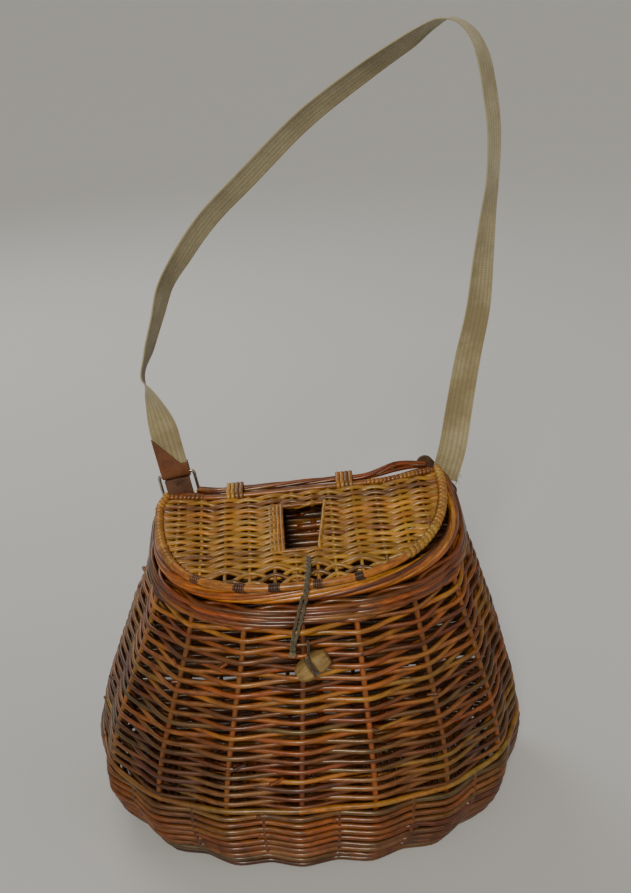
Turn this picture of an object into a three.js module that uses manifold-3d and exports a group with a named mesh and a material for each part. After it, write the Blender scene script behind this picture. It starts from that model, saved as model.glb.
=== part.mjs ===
import * as THREE from 'three';
import { mergeVertices } from 'three/addons/utils/BufferGeometryUtils.js';
import Module from 'manifold-3d';

// A wicker fishing creel: a woven basket with a flat lid, a cord-and-toggle latch and a webbing strap.
// Millimetres. +X to the viewer's right, +Y to the back, which rests on the hip, +Z up.
// The origin lies on the underside of the base.

// Clearance between pieces that touch, and the extra where a curved face meets another
const GAP = 0.3;
const SLACK = 0.1;

// Sides of a thick rod and of a thin one
const ROD_SIDES = 8;
const THIN_SIDES = 6;

// Basket
const HALF_WIDTH = 192;
const FRONT_DEPTH = 145;
const BACK_DEPTH = 52;
const BACK_HOLLOW = 12;
// The hollow of the back is flat out to the first share of the half width and ends at the second
const HOLLOW_FLAT = 0.5;
const HOLLOW_END = 0.9;
const RIM_HEIGHT = 265;
const RIM_SLOPE = THREE.MathUtils.degToRad(12);
const RIM_TILT = THREE.MathUtils.degToRad(3.6);
const FRONT_ROUNDNESS = 2.45;
const BACK_SQUARENESS = 6;
const WALL = 6;
const LOWER_WALE_HEIGHT = 72;
const LOWER_WALE_THICKNESS = 8;
const LOBE = 2.2;
const TOP_WALE_HEIGHT = 13;
const TOP_WALE_THICKNESS = 8;
const BORDER_WIDTH = 11;
const BORDER_HEIGHT = 14;
const BASE_THICKNESS = 8;
const STAKES = 16;
const STAKE_RADIUS = 2.2;
const STAKE_STANDOFF = 0.62;
const STAKE_FOOT = 2.2;
const STAKE_HEAD = 1.2;
const STAKE_PHASE = -0.012;

// The basket's plan at seven levels: level and lean to the right as shares of RIM_HEIGHT and HALF_WIDTH,
// width, front and back as shares of HALF_WIDTH, FRONT_DEPTH and BACK_DEPTH
const BODY_SECTIONS = [
  { level: 0.00, shift: 0.000, width: 0.875, front: 0.955, back: 0.93 },
  { level: 0.07, shift: 0.000, width: 0.955, front: 0.980, back: 0.98 },
  { level: 0.20, shift: 0.000, width: 1.000, front: 1.000, back: 1.00 },
  { level: 0.40, shift: 0.005, width: 0.965, front: 0.970, back: 1.00 },
  { level: 0.62, shift: 0.013, width: 0.861, front: 0.880, back: 1.00 },
  { level: 0.82, shift: 0.020, width: 0.755, front: 0.770, back: 1.00 },
  { level: 1.00, shift: 0.017, width: 0.685, front: 0.665, back: 1.00 },
];

// Lid
const LID_HALF_WIDTH = 127;
const LID_REACH = 125;
const LID_THICKNESS = 5;
const LID_ROUNDNESS_LEFT = 2.9;
const LID_ROUNDNESS_RIGHT = 2.35;
const LID_CORNER_INSET_LEFT = 6;
const LID_CORNER_INSET_RIGHT = 1;
const LID_CORNER_SETBACK = 8;
// The lid's back line is straight out to this share of LID_HALF_WIDTH
const LID_BACK_STRAIGHT = 0.5;
// The bow sweeps this share of a half turn
const LID_SWEEP = 0.97;
const BOW_RADIUS = 3.7;
const BACK_ROD_RADIUS = 3;
const RIB_RADIUS = 1.5;
const SLOT_BACK_WIDTH = 34;
const SLOT_FRONT_WIDTH = 26;
const SLOT_LENGTH = 55;
const SLOT_SETBACK = 23;
const SLOT_CENTRE = 1;
const SLOT_SKEW = 4;

// Ribs under the lid, as shares of the half width that they have inside the mouth
const RIB_PLACES = [-0.946, -0.766, -0.586, -0.406, -0.225, 0.214, 0.394, 0.575, 0.755, 0.924];
const RIB_CLEARANCE = 3;

// Hinge
const BACK_BORDER_RADIUS = 3.5;
const HINGE_SPACING = 11;
const LOOP_WIDTH = 15;
const LOOP_THICKNESS = 1.5;
const LOOP_SIDE_GAP = 1;
const LOOP_PLACES = { hinge_loop_left: -0.45, hinge_loop_right: 0.31 };

// The back border's rise above the rim and its lean to the back at places along it, as shares of BORDER_PEAK
const BORDER_PEAK = 9;
const BORDER_LINE = [
  { place: 0.345, rise: 0.00, lean: 0.00 },
  { place: 0.366, rise: 0.20, lean: 0.26 },
  { place: 0.388, rise: 0.44, lean: 0.42 },
  { place: 0.406, rise: 0.20, lean: 0.22 },
  { place: 0.422, rise: 0.00, lean: 0.00 },
  { place: 0.460, rise: 0.00, lean: 0.00 },
  { place: 0.500, rise: 0.00, lean: 0.00 },
  { place: 0.560, rise: 0.00, lean: 0.00 },
  { place: 0.605, rise: 0.00, lean: 0.00 },
  { place: 0.630, rise: 0.00, lean: 0.00 },
];

// Toggle
const TOGGLE_LENGTH = 32;
const TOGGLE_RADIUS = 10;
const GROOVE_RADIUS = 6.2;
const TIE_RADIUS = 1.6;
const TOGGLE_STANDOFF = 0.8;
const TOGGLE_LEVEL = 0.79;
const TOGGLE_PLACE = -0.002;
const TOGGLE_TURN = THREE.MathUtils.degToRad(33);

// Latch cord: tied to the lid behind the bow, it runs over the bow and hangs down the front wall to its knot
const CORD_RADIUS = 2.2;
const KNOT_RADIUS = 3;
const CORD_ROUTE = [
  [3.0, -70.5, 259.9],
  [2.7, -76.0, 258.9],
  [2.3, -81.5, 257.9],
  [1.8, -86.5, 257.0],
  [1.3, -91.5, 256.0],
  [0.8, -96.5, 255.0],
  [0.3, -100.2, 252.4],
  [-0.4, -101.6, 248.2],
  [-1.3, -101.4, 243.5],
  [-2.4, -101.2, 238.8],
  [-3.7, -102.0, 234.2],
  [-5.1, -103.6, 229.6],
  [-6.6, -105.2, 224.8],
  [-8.1, -106.8, 219.9],
  [-9.6, -108.4, 215.0],
  [-11.0, -110.1, 210.0],
  [-12.2, -111.8, 205.0],
  [-12.9, -113.4, 200.2],
];

// Strap
const WEBBING_WIDTH = 25;
const WEBBING_THICKNESS = 1.8;
const STRAP_RISE = 373;
const STRAP_LEAN = 70;
// Where each end stands against the back wall: across as a share of HALF_WIDTH, height above the rim,
// and tilt to the right in degrees
const STRAP_END_LEFT = { across: -0.573, height: 14, tilt: -10 };
const STRAP_END_RIGHT = { across: 0.6875, height: -11, tilt: 14 };
// The back wall's corners lie at this share of HALF_WIDTH
const BACK_CORNER = 0.58;

// The webbing's path from the left end to the right: across as shares of the distance between its ends,
// up as shares of STRAP_RISE, lean to the back as shares of STRAP_LEAN, turn about its own line in degrees
const STRAP_PATH = [
  { across: -0.054, up: 0.160, lean: 0.09, turn: 35 },
  { across: -0.076, up: 0.197, lean: 0.16, turn: 58 },
  { across: -0.095, up: 0.230, lean: 0.23, turn: 92 },
  { across: -0.068, up: 0.289, lean: 0.34, turn: 108 },
  { across: -0.031, up: 0.362, lean: 0.48, turn: 114 },
  { across: 0.004, up: 0.432, lean: 0.58, turn: 123 },
  { across: 0.066, up: 0.495, lean: 0.66, turn: 134 },
  { across: 0.166, up: 0.580, lean: 0.74, turn: 138 },
  { across: 0.312, up: 0.673, lean: 0.80, turn: 140 },
  { across: 0.527, up: 0.806, lean: 0.86, turn: 139 },
  { across: 0.733, up: 0.905, lean: 0.89, turn: 135 },
  { across: 0.896, up: 0.975, lean: 0.90, turn: 127 },
  { across: 0.982, up: 1.011, lean: 0.90, turn: 110 },
  { across: 1.040, up: 1.019, lean: 0.89, turn: 86 },
  { across: 1.103, up: 0.993, lean: 0.88, turn: 68 },
  { across: 1.143, up: 0.945, lean: 0.88, turn: 55 },
  { across: 1.169, up: 0.871, lean: 0.87, turn: 52 },
  { across: 1.187, up: 0.786, lean: 0.85, turn: 53 },
  { across: 1.186, up: 0.676, lean: 0.81, turn: 54 },
  { across: 1.174, up: 0.608, lean: 0.77, turn: 47 },
  { across: 1.155, up: 0.497, lean: 0.68, turn: 33 },
  { across: 1.134, up: 0.385, lean: 0.54, turn: 21 },
  { across: 1.091, up: 0.274, lean: 0.35, turn: 12 },
  { across: 1.052, up: 0.162, lean: 0.13, turn: 5 },
];

// Leather and buckle at the strap's left end
const LEATHER = 2;
const CHAPE_WIDTH = 25.6;
const CHAPE_HEIGHT = 38;
const CHAPE_SHORT_SIDE = 10;
const CHAPE_STEP = 6;
const WIRE_RADIUS = 1.5;
const BUCKLE_WIDTH = 35;
const BUCKLE_HEIGHT = 25;
const BUCKLE_CORNER = 3;
const BILLET_WIDTH = 23;
const BILLET_LENGTH = 46;
const BILLET_HOLE = 3.5;

// Leather tab at the strap's right end
const TAB_LENGTH = 52;
const TAB_WIDTH = 15;
const TAB_TURN = THREE.MathUtils.degToRad(38);
const TAB_RISE = -6;
const TAB_SHIFT = -6;

const group = new THREE.Group();
group.name = 'fishing_creel_bag';

const wasm = await Module();
wasm.setup();

// Materials
const PALETTE = {
  willow_brown: { color: 0x8a5a2c, roughness: 0.55, metalness: 0 },
  willow_red: { color: 0x9a5424, roughness: 0.45, metalness: 0 },
  willow_gold: { color: 0xb9822e, roughness: 0.45, metalness: 0 },
  boxwood: { color: 0xa08a4c, roughness: 0.5, metalness: 0 },
  cord_olive: { color: 0x6d6247, roughness: 0.9, metalness: 0 },
  webbing: { color: 0xb3a982, roughness: 0.9, metalness: 0 },
  leather: { color: 0x7c4526, roughness: 0.6, metalness: 0 },
  steel: { color: 0xa8a6a0, roughness: 0.3, metalness: 1 },
};

// Adds one named piece to a group
function addPiece(parent, name, geometry, finish) {
  const mesh = new THREE.Mesh(geometry, new THREE.MeshStandardMaterial(PALETTE[finish]));
  mesh.name = name;
  parent.add(mesh);
  return mesh;
}

// A monotone curve through the rows of a table
function tableValue(rows, key, column, at) {
  const last = rows.length - 1;
  if (at <= rows[0][key]) {
    return rows[0][column];
  }
  if (at >= rows[last][key]) {
    return rows[last][column];
  }
  let i = 0;
  while (rows[i + 1][key] < at) {
    i += 1;
  }
  const slope = (j) => {
    const low = Math.max(j - 1, 0);
    const high = Math.min(j + 1, last);
    return (rows[high][column] - rows[low][column]) / (rows[high][key] - rows[low][key]);
  };
  const span = rows[i + 1][key] - rows[i][key];
  const t = (at - rows[i][key]) / span;
  const a = rows[i][column];
  const b = rows[i + 1][column];
  const hermite = (2 * t ** 3 - 3 * t ** 2 + 1) * a + (t ** 3 - 2 * t ** 2 + t) * span * slope(i)
    + (3 * t ** 2 - 2 * t ** 3) * b + (t ** 3 - t ** 2) * span * slope(i + 1);
  return Math.min(Math.max(hermite, Math.min(a, b)), Math.max(a, b));
}

// A closed surface through rings of equal count, joined last to first or closed by flat ends
function ringSurface(rings, joined) {
  const count = rings[0].length;
  const positions = rings.flat().flatMap((p) => [p.x, p.y, p.z]);
  const index = [];
  const bands = joined ? rings.length : rings.length - 1;
  for (let r = 0; r < bands; r += 1) {
    const low = r * count;
    const high = ((r + 1) % rings.length) * count;
    for (let i = 0; i < count; i += 1) {
      const next = (i + 1) % count;
      index.push(low + i, low + next, high + next, low + i, high + next, high + i);
    }
  }
  if (!joined) {
    const ends = [[rings[0], 0, true], [rings[rings.length - 1], (rings.length - 1) * count, false]];
    for (const [ring, start, first] of ends) {
      const centre = new THREE.Vector3();
      ring.forEach((p) => centre.addScaledVector(p, 1 / count));
      const hub = positions.length / 3;
      positions.push(centre.x, centre.y, centre.z);
      for (let i = 0; i < count; i += 1) {
        const next = (i + 1) % count;
        index.push(hub, start + (first ? next : i), start + (first ? i : next));
      }
    }
  }
  const geometry = new THREE.BufferGeometry();
  geometry.setAttribute('position', new THREE.Float32BufferAttribute(positions, 3));
  geometry.setIndex(index);
  return geometry;
}

// A round rod along a smooth path
function rod(points, radius, steps, sides) {
  const section = new THREE.Shape();
  for (let i = 0; i < sides; i += 1) {
    const angle = (i / sides) * Math.PI * 2;
    const x = Math.cos(angle) * radius;
    const y = Math.sin(angle) * radius;
    if (i === 0) {
      section.moveTo(x, y);
    } else {
      section.lineTo(x, y);
    }
  }
  section.closePath();
  const path = new THREE.CatmullRomCurve3(points, false, 'centripetal');
  return new THREE.ExtrudeGeometry(section, { steps, extrudePath: path, bevelEnabled: false });
}

// Joining and cutting
const MERGE_DISTANCE = 1e-4;

function toSolid(geometry) {
  const bare = geometry.clone();
  bare.deleteAttribute('normal');
  bare.deleteAttribute('uv');
  const merged = mergeVertices(bare, MERGE_DISTANCE);
  return new wasm.Manifold(new wasm.Mesh({
    numProp: 3,
    vertProperties: Float32Array.from(merged.attributes.position.array),
    triVerts: Uint32Array.from(merged.index.array),
  }));
}

function toGeometry(solid) {
  const mesh = solid.getMesh();
  const geometry = new THREE.BufferGeometry();
  geometry.setAttribute('position', new THREE.BufferAttribute(mesh.vertProperties, 3));
  geometry.setIndex(new THREE.BufferAttribute(mesh.triVerts, 1));
  return geometry;
}

// A box given by its lowest and highest corners
function box(low, high) {
  const size = new THREE.Vector3().subVectors(high, low);
  const centre = new THREE.Vector3().addVectors(high, low).multiplyScalar(0.5);
  return new THREE.BoxGeometry(size.x, size.y, size.z).translate(centre.x, centre.y, centre.z);
}

// A flat plate of a given outline, from z = low to z = high
function plate(points, low, high) {
  const shape = new THREE.Shape(points);
  const geometry = new THREE.ExtrudeGeometry(shape, { depth: high - low, bevelEnabled: false });
  return geometry.translate(0, 0, low);
}

// Plan of the basket

// The outline at one level, as even steps along its length from the front centre, to the right first
const PLAN_STEPS = 720;
// The way out is measured across this many steps to each side
const NORMAL_STEPS = 3;
const planCache = new Map();
function planOutline(level) {
  if (planCache.has(level)) {
    return planCache.get(level);
  }
  const halfWidth = HALF_WIDTH * tableValue(BODY_SECTIONS, 'level', 'width', level);
  const front = FRONT_DEPTH * tableValue(BODY_SECTIONS, 'level', 'front', level);
  const back = BACK_DEPTH * tableValue(BODY_SECTIONS, 'level', 'back', level);
  const shift = HALF_WIDTH * tableValue(BODY_SECTIONS, 'level', 'shift', level);
  const points = [];
  for (let i = 0; i <= PLAN_STEPS; i += 1) {
    const angle = (i / PLAN_STEPS) * Math.PI * 2;
    const s = Math.sin(angle);
    const c = Math.cos(angle);
    const isFront = c > 0;
    const power = isFront ? FRONT_ROUNDNESS : BACK_SQUARENESS;
    const depth = isFront ? front : back;
    const sum = Math.abs(s / halfWidth) ** power + Math.abs(c / depth) ** power;
    const radius = sum ** (-1 / power);
    const x = radius * s;
    const aside = THREE.MathUtils.smoothstep(Math.abs(x) / halfWidth, HOLLOW_FLAT, HOLLOW_END);
    const hollow = isFront ? 0 : BACK_HOLLOW * (1 - aside);
    points.push(new THREE.Vector2(x + shift, -radius * c - hollow));
  }
  const along = [0];
  for (let i = 1; i <= PLAN_STEPS; i += 1) {
    along.push(along[i - 1] + points[i].distanceTo(points[i - 1]));
  }
  const outline = { points, along, length: along[PLAN_STEPS] };
  planCache.set(level, outline);
  return outline;
}

// A point on the outline's outer line and the way out of the basket there
function planPoint(level, place) {
  const { points, along, length } = planOutline(level);
  const target = ((place % 1) + 1) % 1 * length;
  let low = 0;
  let high = PLAN_STEPS;
  while (high - low > 1) {
    const mid = (low + high) >> 1;
    if (along[mid] <= target) {
      low = mid;
    } else {
      high = mid;
    }
  }
  const t = (target - along[low]) / (along[high] - along[low]);
  const at = points[low].clone().lerp(points[high], t);
  const before = points[(low + PLAN_STEPS - NORMAL_STEPS) % PLAN_STEPS];
  const after = points[(high + NORMAL_STEPS) % PLAN_STEPS];
  const out = new THREE.Vector2(after.y - before.y, before.x - after.x).normalize();
  return { at, out };
}

// Height of the rim's top plane
function rimPlane(x, y) {
  return RIM_HEIGHT + x * Math.tan(RIM_TILT) + y * Math.tan(RIM_SLOPE);
}

const borderBottom = 1 - BORDER_HEIGHT / RIM_HEIGHT;

// A point of the wall: inset is measured inwards from the outer face, lift upwards from the level.
// Level 1 is the top of the border, and the levels below the border share out the height under it.
function wallPoint(level, place, inset, lift = 0) {
  const { at, out } = planPoint(level, place);
  const x = at.x - out.x * inset;
  const y = at.y - out.y * inset;
  const top = rimPlane(x, y);
  const z = level < 1 ? (level / borderBottom) * (top - BORDER_HEIGHT) : top;
  return new THREE.Vector3(x, y, z + lift);
}

// The place on the back of the rim that lies at a given x, found by halving between the two corners
const HALVINGS = 40;

function placeAtBack(x) {
  let right = 0.3;
  let left = 0.7;
  for (let i = 0; i < HALVINGS; i += 1) {
    const middle = (right + left) / 2;
    if (planPoint(1, middle).at.x > x) {
      right = middle;
    } else {
      left = middle;
    }
  }
  return (right + left) / 2;
}

const AROUND = STAKES * 4;
const AROUND_LOBES = STAKES * 6;

function wallRing(level, inset, lobe) {
  const ring = [];
  const count = lobe > 0 ? AROUND_LOBES : AROUND;
  for (let i = 0; i < count; i += 1) {
    const place = i / count + STAKE_PHASE;
    const swell = lobe * Math.cos((i / count) * STAKES * Math.PI * 2);
    ring.push(wallPoint(level, place, inset - swell));
  }
  return ring;
}

function evenLevels(from, to, steps) {
  return Array.from({ length: steps + 1 }, (_, i) => from + ((to - from) * i) / steps);
}

// A band of wall through rising levels
function wallBand(levels, thickness, lobe) {
  const outer = levels.map((level) => wallRing(level, 0, lobe));
  const inner = levels.map((level) => wallRing(level, thickness, lobe));
  return ringSurface([...outer, ...inner.reverse()], true);
}

const gapLevel = GAP / RIM_HEIGHT;
const lowerTop = LOWER_WALE_HEIGHT / RIM_HEIGHT;
const topWaleBottom = borderBottom - TOP_WALE_HEIGHT / RIM_HEIGHT;

const baseTop = BASE_THICKNESS / RIM_HEIGHT;

// Walls
const lowerLevels = [0, ...evenLevels(baseTop, lowerTop, 3)];
const sideLevels = evenLevels(lowerTop + gapLevel, topWaleBottom - gapLevel, 6);
const topLevels = [topWaleBottom, borderBottom - gapLevel];
addPiece(group, 'lower_wale', wallBand(lowerLevels, LOWER_WALE_THICKNESS, LOBE), 'willow_brown');
addPiece(group, 'side_wall', wallBand(sideLevels, WALL, 0), 'willow_brown');
addPiece(group, 'top_wale', wallBand(topLevels, TOP_WALE_THICKNESS, 0), 'willow_red');

// Base
const baseInset = LOWER_WALE_THICKNESS + 2 * GAP;
const baseRings = [0, baseTop].map((level) => wallRing(level, baseInset, LOBE));
addPiece(group, 'base', ringSurface(baseRings, false), 'willow_brown');

// Rim border: an eight-sided section carried round the mouth
function borderRing() {
  const rings = [];
  const sides = 8;
  for (let k = 0; k < sides; k += 1) {
    const angle = ((k + 0.5) / sides) * Math.PI * 2;
    const reach = 1 / Math.cos(Math.PI / sides);
    const inset = BORDER_WIDTH / 2 - (Math.cos(angle) * reach * BORDER_WIDTH) / 2;
    const lift = (Math.sin(angle) * reach - 1) * (BORDER_HEIGHT / 2);
    const ring = [];
    for (let i = 0; i < AROUND; i += 1) {
      ring.push(wallPoint(1, i / AROUND + STAKE_PHASE, inset, lift));
    }
    rings.push(ring);
  }
  // The hinge loops lie in pockets pressed into the border
  let border = toSolid(ringSurface(rings, true));
  const pocketDepth = LOOP_THICKNESS + BORDER_WIDTH / 4;
  for (const share of Object.values(LOOP_PLACES)) {
    const x = share * LID_HALF_WIDTH;
    const top = wallPoint(1, placeAtBack(x), 0);
    const half = LOOP_WIDTH / 2 + 2 * GAP;
    const low = new THREE.Vector3(x - half, top.y - 2 * BORDER_WIDTH, top.z - pocketDepth);
    const high = new THREE.Vector3(x + half, top.y + BORDER_WIDTH, top.z + BORDER_HEIGHT);
    border = border.subtract(toSolid(box(low, high)));
  }
  return toGeometry(border);
}
addPiece(group, 'rim_border', borderRing(), 'willow_red');

// Stakes, which stand against the inside of the wall
const stakeInset = Math.max(LOWER_WALE_THICKNESS, TOP_WALE_THICKNESS) + STAKE_STANDOFF + STAKE_RADIUS;
const stakeLevels = evenLevels(baseTop + STAKE_FOOT / RIM_HEIGHT, borderBottom - STAKE_HEAD / RIM_HEIGHT, 7);
for (let k = 0; k < STAKES; k += 1) {
  const points = stakeLevels.map((level) => wallPoint(level, k / STAKES + STAKE_PHASE, stakeInset));
  addPiece(group, `stake_${k + 1}`, rod(points, STAKE_RADIUS, 9, THIN_SIDES), 'willow_red');
}

// Back border
const backBorderLine = BORDER_WIDTH / 2;

function backBorderPoint(place) {
  const rise = tableValue(BORDER_LINE, 'place', 'rise', place) * BORDER_PEAK;
  const lean = tableValue(BORDER_LINE, 'place', 'lean', place) * BORDER_PEAK;
  return wallPoint(1, place, backBorderLine - lean, BACK_BORDER_RADIUS + 2 * GAP + rise);
}
const borderPoints = BORDER_LINE.map((row) => backBorderPoint(row.place));
addPiece(group, 'back_border', rod(borderPoints, BACK_BORDER_RADIUS, 24, ROD_SIDES), 'willow_red');

// Lid: built flat in its own frame, with the hinge along X and the front towards -Y
const hingeY = planPoint(1, 0.5).at.y - backBorderLine - HINGE_SPACING;
const lidLift = BOW_RADIUS + GAP + SLACK;
const lidTilt = new THREE.Group();
lidTilt.position.set(0, hingeY, rimPlane(0, hingeY) + lidLift);
lidTilt.rotation.y = -RIM_TILT;
const lid = new THREE.Group();
lid.rotation.x = RIM_SLOPE;
lidTilt.add(lid);
group.add(lidTilt);

// A point of the lid's outline, inset from its outer line; angle 0 is the front, 90 degrees the right
function lidEdge(angle, inset) {
  const s = Math.sin(angle);
  const c = Math.cos(angle);
  const power = s > 0 ? LID_ROUNDNESS_RIGHT : LID_ROUNDNESS_LEFT;
  const halfWidth = LID_HALF_WIDTH - inset;
  const sum = Math.abs(s / halfWidth) ** power + Math.abs(c / (LID_REACH - inset)) ** power;
  const radius = sum ** (-1 / power);
  return new THREE.Vector2(radius * s, -radius * c);
}

// The back line of the lid, straight between the hinges and curved back to the corners
function lidBack(x) {
  const straight = LID_BACK_STRAIGHT * LID_HALF_WIDTH;
  const t = Math.max((Math.abs(x) - straight) / (LID_HALF_WIDTH - straight), 0);
  return LID_CORNER_SETBACK * t * t * (3 - 2 * t);
}

const cornerX = LID_HALF_WIDTH - BOW_RADIUS;
const cornerLeft = LID_CORNER_INSET_LEFT - cornerX;
const cornerRight = cornerX - LID_CORNER_INSET_RIGHT;
const bowPoints = [new THREE.Vector3(cornerLeft, LID_CORNER_SETBACK + BACK_ROD_RADIUS, 0)];
const BOW_STEPS = 20;
for (let i = 0; i <= BOW_STEPS; i += 1) {
  const angle = (-0.5 + i / BOW_STEPS) * Math.PI * LID_SWEEP;
  const edge = lidEdge(angle, BOW_RADIUS);
  bowPoints.push(new THREE.Vector3(edge.x, edge.y, 0));
}
bowPoints.push(new THREE.Vector3(cornerRight, LID_CORNER_SETBACK + BACK_ROD_RADIUS, 0));
addPiece(lid, 'lid_bow', rod(bowPoints, BOW_RADIUS, 40, ROD_SIDES), 'willow_gold');

const rodEndLeft = cornerLeft + BOW_RADIUS + GAP;
const rodEndRight = cornerRight - BOW_RADIUS - GAP;
const backRodPoints = [];
const ROD_STEPS = 12;
for (let i = 0; i <= ROD_STEPS; i += 1) {
  const x = rodEndLeft + ((rodEndRight - rodEndLeft) * i) / ROD_STEPS;
  backRodPoints.push(new THREE.Vector3(x, lidBack(x), 0));
}
addPiece(lid, 'lid_back_rod', rod(backRodPoints, BACK_ROD_RADIUS, 18, ROD_SIDES), 'willow_gold');

// Lid panel, cut round the slot and the hinge loops
const panelInset = 2 * BOW_RADIUS + GAP;
const panelBack = BACK_ROD_RADIUS + GAP;
const PANEL_END_GAP = 1;

function panelGeometry() {
  const outline = [];
  const steps = 30;
  for (let i = 1; i < steps; i += 1) {
    outline.push(lidEdge((-0.5 + i / steps) * Math.PI * LID_SWEEP, panelInset));
  }
  const right = rodEndRight - PANEL_END_GAP;
  const left = rodEndLeft + PANEL_END_GAP;
  const backSteps = 16;
  for (let i = 0; i <= backSteps; i += 1) {
    const x = right + ((left - right) * i) / backSteps;
    outline.push(new THREE.Vector2(x, lidBack(x) - panelBack));
  }
  const half = LID_THICKNESS / 2;
  let panel = toSolid(plate(outline, -half, half));
  const through = LID_THICKNESS;
  const slotFront = SLOT_SETBACK + SLOT_LENGTH;
  const slot = [
    new THREE.Vector2(SLOT_CENTRE - SLOT_BACK_WIDTH / 2, -SLOT_SETBACK),
    new THREE.Vector2(SLOT_CENTRE - SLOT_FRONT_WIDTH / 2 - SLOT_SKEW, -slotFront),
    new THREE.Vector2(SLOT_CENTRE + SLOT_FRONT_WIDTH / 2 - SLOT_SKEW, -slotFront),
    new THREE.Vector2(SLOT_CENTRE + SLOT_BACK_WIDTH / 2, -SLOT_SETBACK),
  ];
  panel = panel.subtract(toSolid(plate(slot, -through, through)));
  for (const place of Object.values(LOOP_PLACES)) {
    const x = place * LID_HALF_WIDTH;
    const halfNotch = LOOP_WIDTH / 2 + LOOP_SIDE_GAP;
    const depth = BACK_ROD_RADIUS + LOOP_THICKNESS + 3 * GAP;
    const low = new THREE.Vector3(x - halfNotch, -depth, -through);
    const high = new THREE.Vector3(x + halfNotch, 0, through);
    panel = panel.subtract(toSolid(box(low, high)));
  }
  return toGeometry(panel);
}
addPiece(lid, 'lid_panel', panelGeometry(), 'willow_gold');

lidTilt.updateMatrixWorld(true);
const lidFromWorld = lid.matrixWorld.clone().invert();

// The front of the room that the mouth leaves for the ribs, in the lid's frame, from left to right
const mouthInset = BORDER_WIDTH + RIB_RADIUS + RIB_CLEARANCE;
const mouthSteps = 80;
const mouthFront = Array.from({ length: mouthSteps + 1 }, (_, i) => {
  const point = wallPoint(1, (i / mouthSteps - 0.5) / 2, mouthInset).applyMatrix4(lidFromWorld);
  return { x: point.x, y: point.y };
});
const mouthHalf = Math.min(-mouthFront[0].x, mouthFront[mouthSteps].x);
const ribHalf = Math.min(LID_HALF_WIDTH - panelInset, mouthHalf);

// Ribs under the panel, from the hinge side to the front, inside the mouth and under the lid's own outline
RIB_PLACES.forEach((place, k) => {
  const x = place * ribHalf;
  const z = -(LID_THICKNESS / 2 + GAP + RIB_RADIUS);
  const angle = Math.asin(x / LID_HALF_WIDTH);
  const underLid = lidEdge(angle, panelInset + BORDER_WIDTH).y;
  const reach = Math.max(underLid, tableValue(mouthFront, 'x', 'y', x));
  const start = new THREE.Vector3(x, lidBack(x) - panelBack - 2 * LOOP_THICKNESS, z);
  const end = new THREE.Vector3(x, reach, z);
  const middle = start.clone().lerp(end, 0.5);
  addPiece(lid, `lid_rib_${k + 1}`, rod([start, middle, end], RIB_RADIUS, 1, THIN_SIDES), 'willow_gold');
});

// Hinge loops: flat cane wound round the lid's back rod and the back border
function hullOfCircles(radiusA, centreA, radiusB, centreB, steps) {
  const across = new THREE.Vector2().subVectors(centreB, centreA);
  const heading = Math.atan2(across.y, across.x);
  const lean = Math.asin((radiusA - radiusB) / across.length());
  const points = [];
  const firstTurn = Math.PI / 2 - lean;
  for (let i = 0; i <= steps; i += 1) {
    const angle = heading + firstTurn + ((2 * Math.PI - 2 * firstTurn) * i) / steps;
    const reach = new THREE.Vector2(Math.cos(angle), Math.sin(angle)).multiplyScalar(radiusA);
    points.push(reach.add(centreA));
  }
  for (let i = 0; i <= steps; i += 1) {
    const angle = heading - firstTurn + (2 * firstTurn * i) / steps;
    const reach = new THREE.Vector2(Math.cos(angle), Math.sin(angle)).multiplyScalar(radiusB);
    points.push(reach.add(centreB));
  }
  return points;
}

const hingeFrame = new THREE.Group();
hingeFrame.position.copy(lidTilt.position);
hingeFrame.rotation.y = lidTilt.rotation.y;
const hingeInner = new THREE.Group();
hingeInner.rotation.x = lid.rotation.x;
hingeFrame.add(hingeInner);
group.add(hingeFrame);

for (const [name, share] of Object.entries(LOOP_PLACES)) {
  const border = backBorderPoint(placeAtBack(share * LID_HALF_WIDTH)).applyMatrix4(lidFromWorld);
  const rodCentre = new THREE.Vector2(0, 0);
  const borderCentre = new THREE.Vector2(border.y, border.z);
  const innerRod = BACK_ROD_RADIUS + 2 * GAP;
  const innerBorder = BACK_BORDER_RADIUS + 2 * GAP;
  const steps = 8;
  const inner = hullOfCircles(innerRod, rodCentre, innerBorder, borderCentre, steps);
  const outerRod = innerRod + LOOP_THICKNESS;
  const outerBorder = innerBorder + LOOP_THICKNESS;
  const shape = new THREE.Shape(hullOfCircles(outerRod, rodCentre, outerBorder, borderCentre, steps));
  shape.holes.push(new THREE.Path(inner));
  const loop = new THREE.ExtrudeGeometry(shape, { depth: LOOP_WIDTH, bevelEnabled: false });
  // The shape's plane becomes the lid's YZ plane
  loop.applyMatrix4(new THREE.Matrix4().makeBasis(
    new THREE.Vector3(0, 1, 0),
    new THREE.Vector3(0, 0, 1),
    new THREE.Vector3(1, 0, 0),
  ));
  loop.translate(border.x - LOOP_WIDTH / 2, 0, 0);
  addPiece(hingeInner, name, loop, 'willow_gold');
}

// Toggle: a carved spool that lies on the front wall, held by a cord in its groove
const toggleSeat = wallPoint(TOGGLE_LEVEL, TOGGLE_PLACE, 0);
const LEVEL_STEP = 0.04;
const toggleBelow = wallPoint(TOGGLE_LEVEL - LEVEL_STEP, TOGGLE_PLACE, 0);
const wallLean = Math.atan2(toggleSeat.y - toggleBelow.y, toggleSeat.z - toggleBelow.z);
const spool = new THREE.Group();
spool.position.copy(toggleSeat);
spool.rotation.x = -wallLean;
group.add(spool);
const spoolAxis = new THREE.Group();
spoolAxis.position.y = -(TOGGLE_RADIUS + TOGGLE_STANDOFF);
spoolAxis.rotation.y = -TOGGLE_TURN;
spool.add(spoolAxis);

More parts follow.
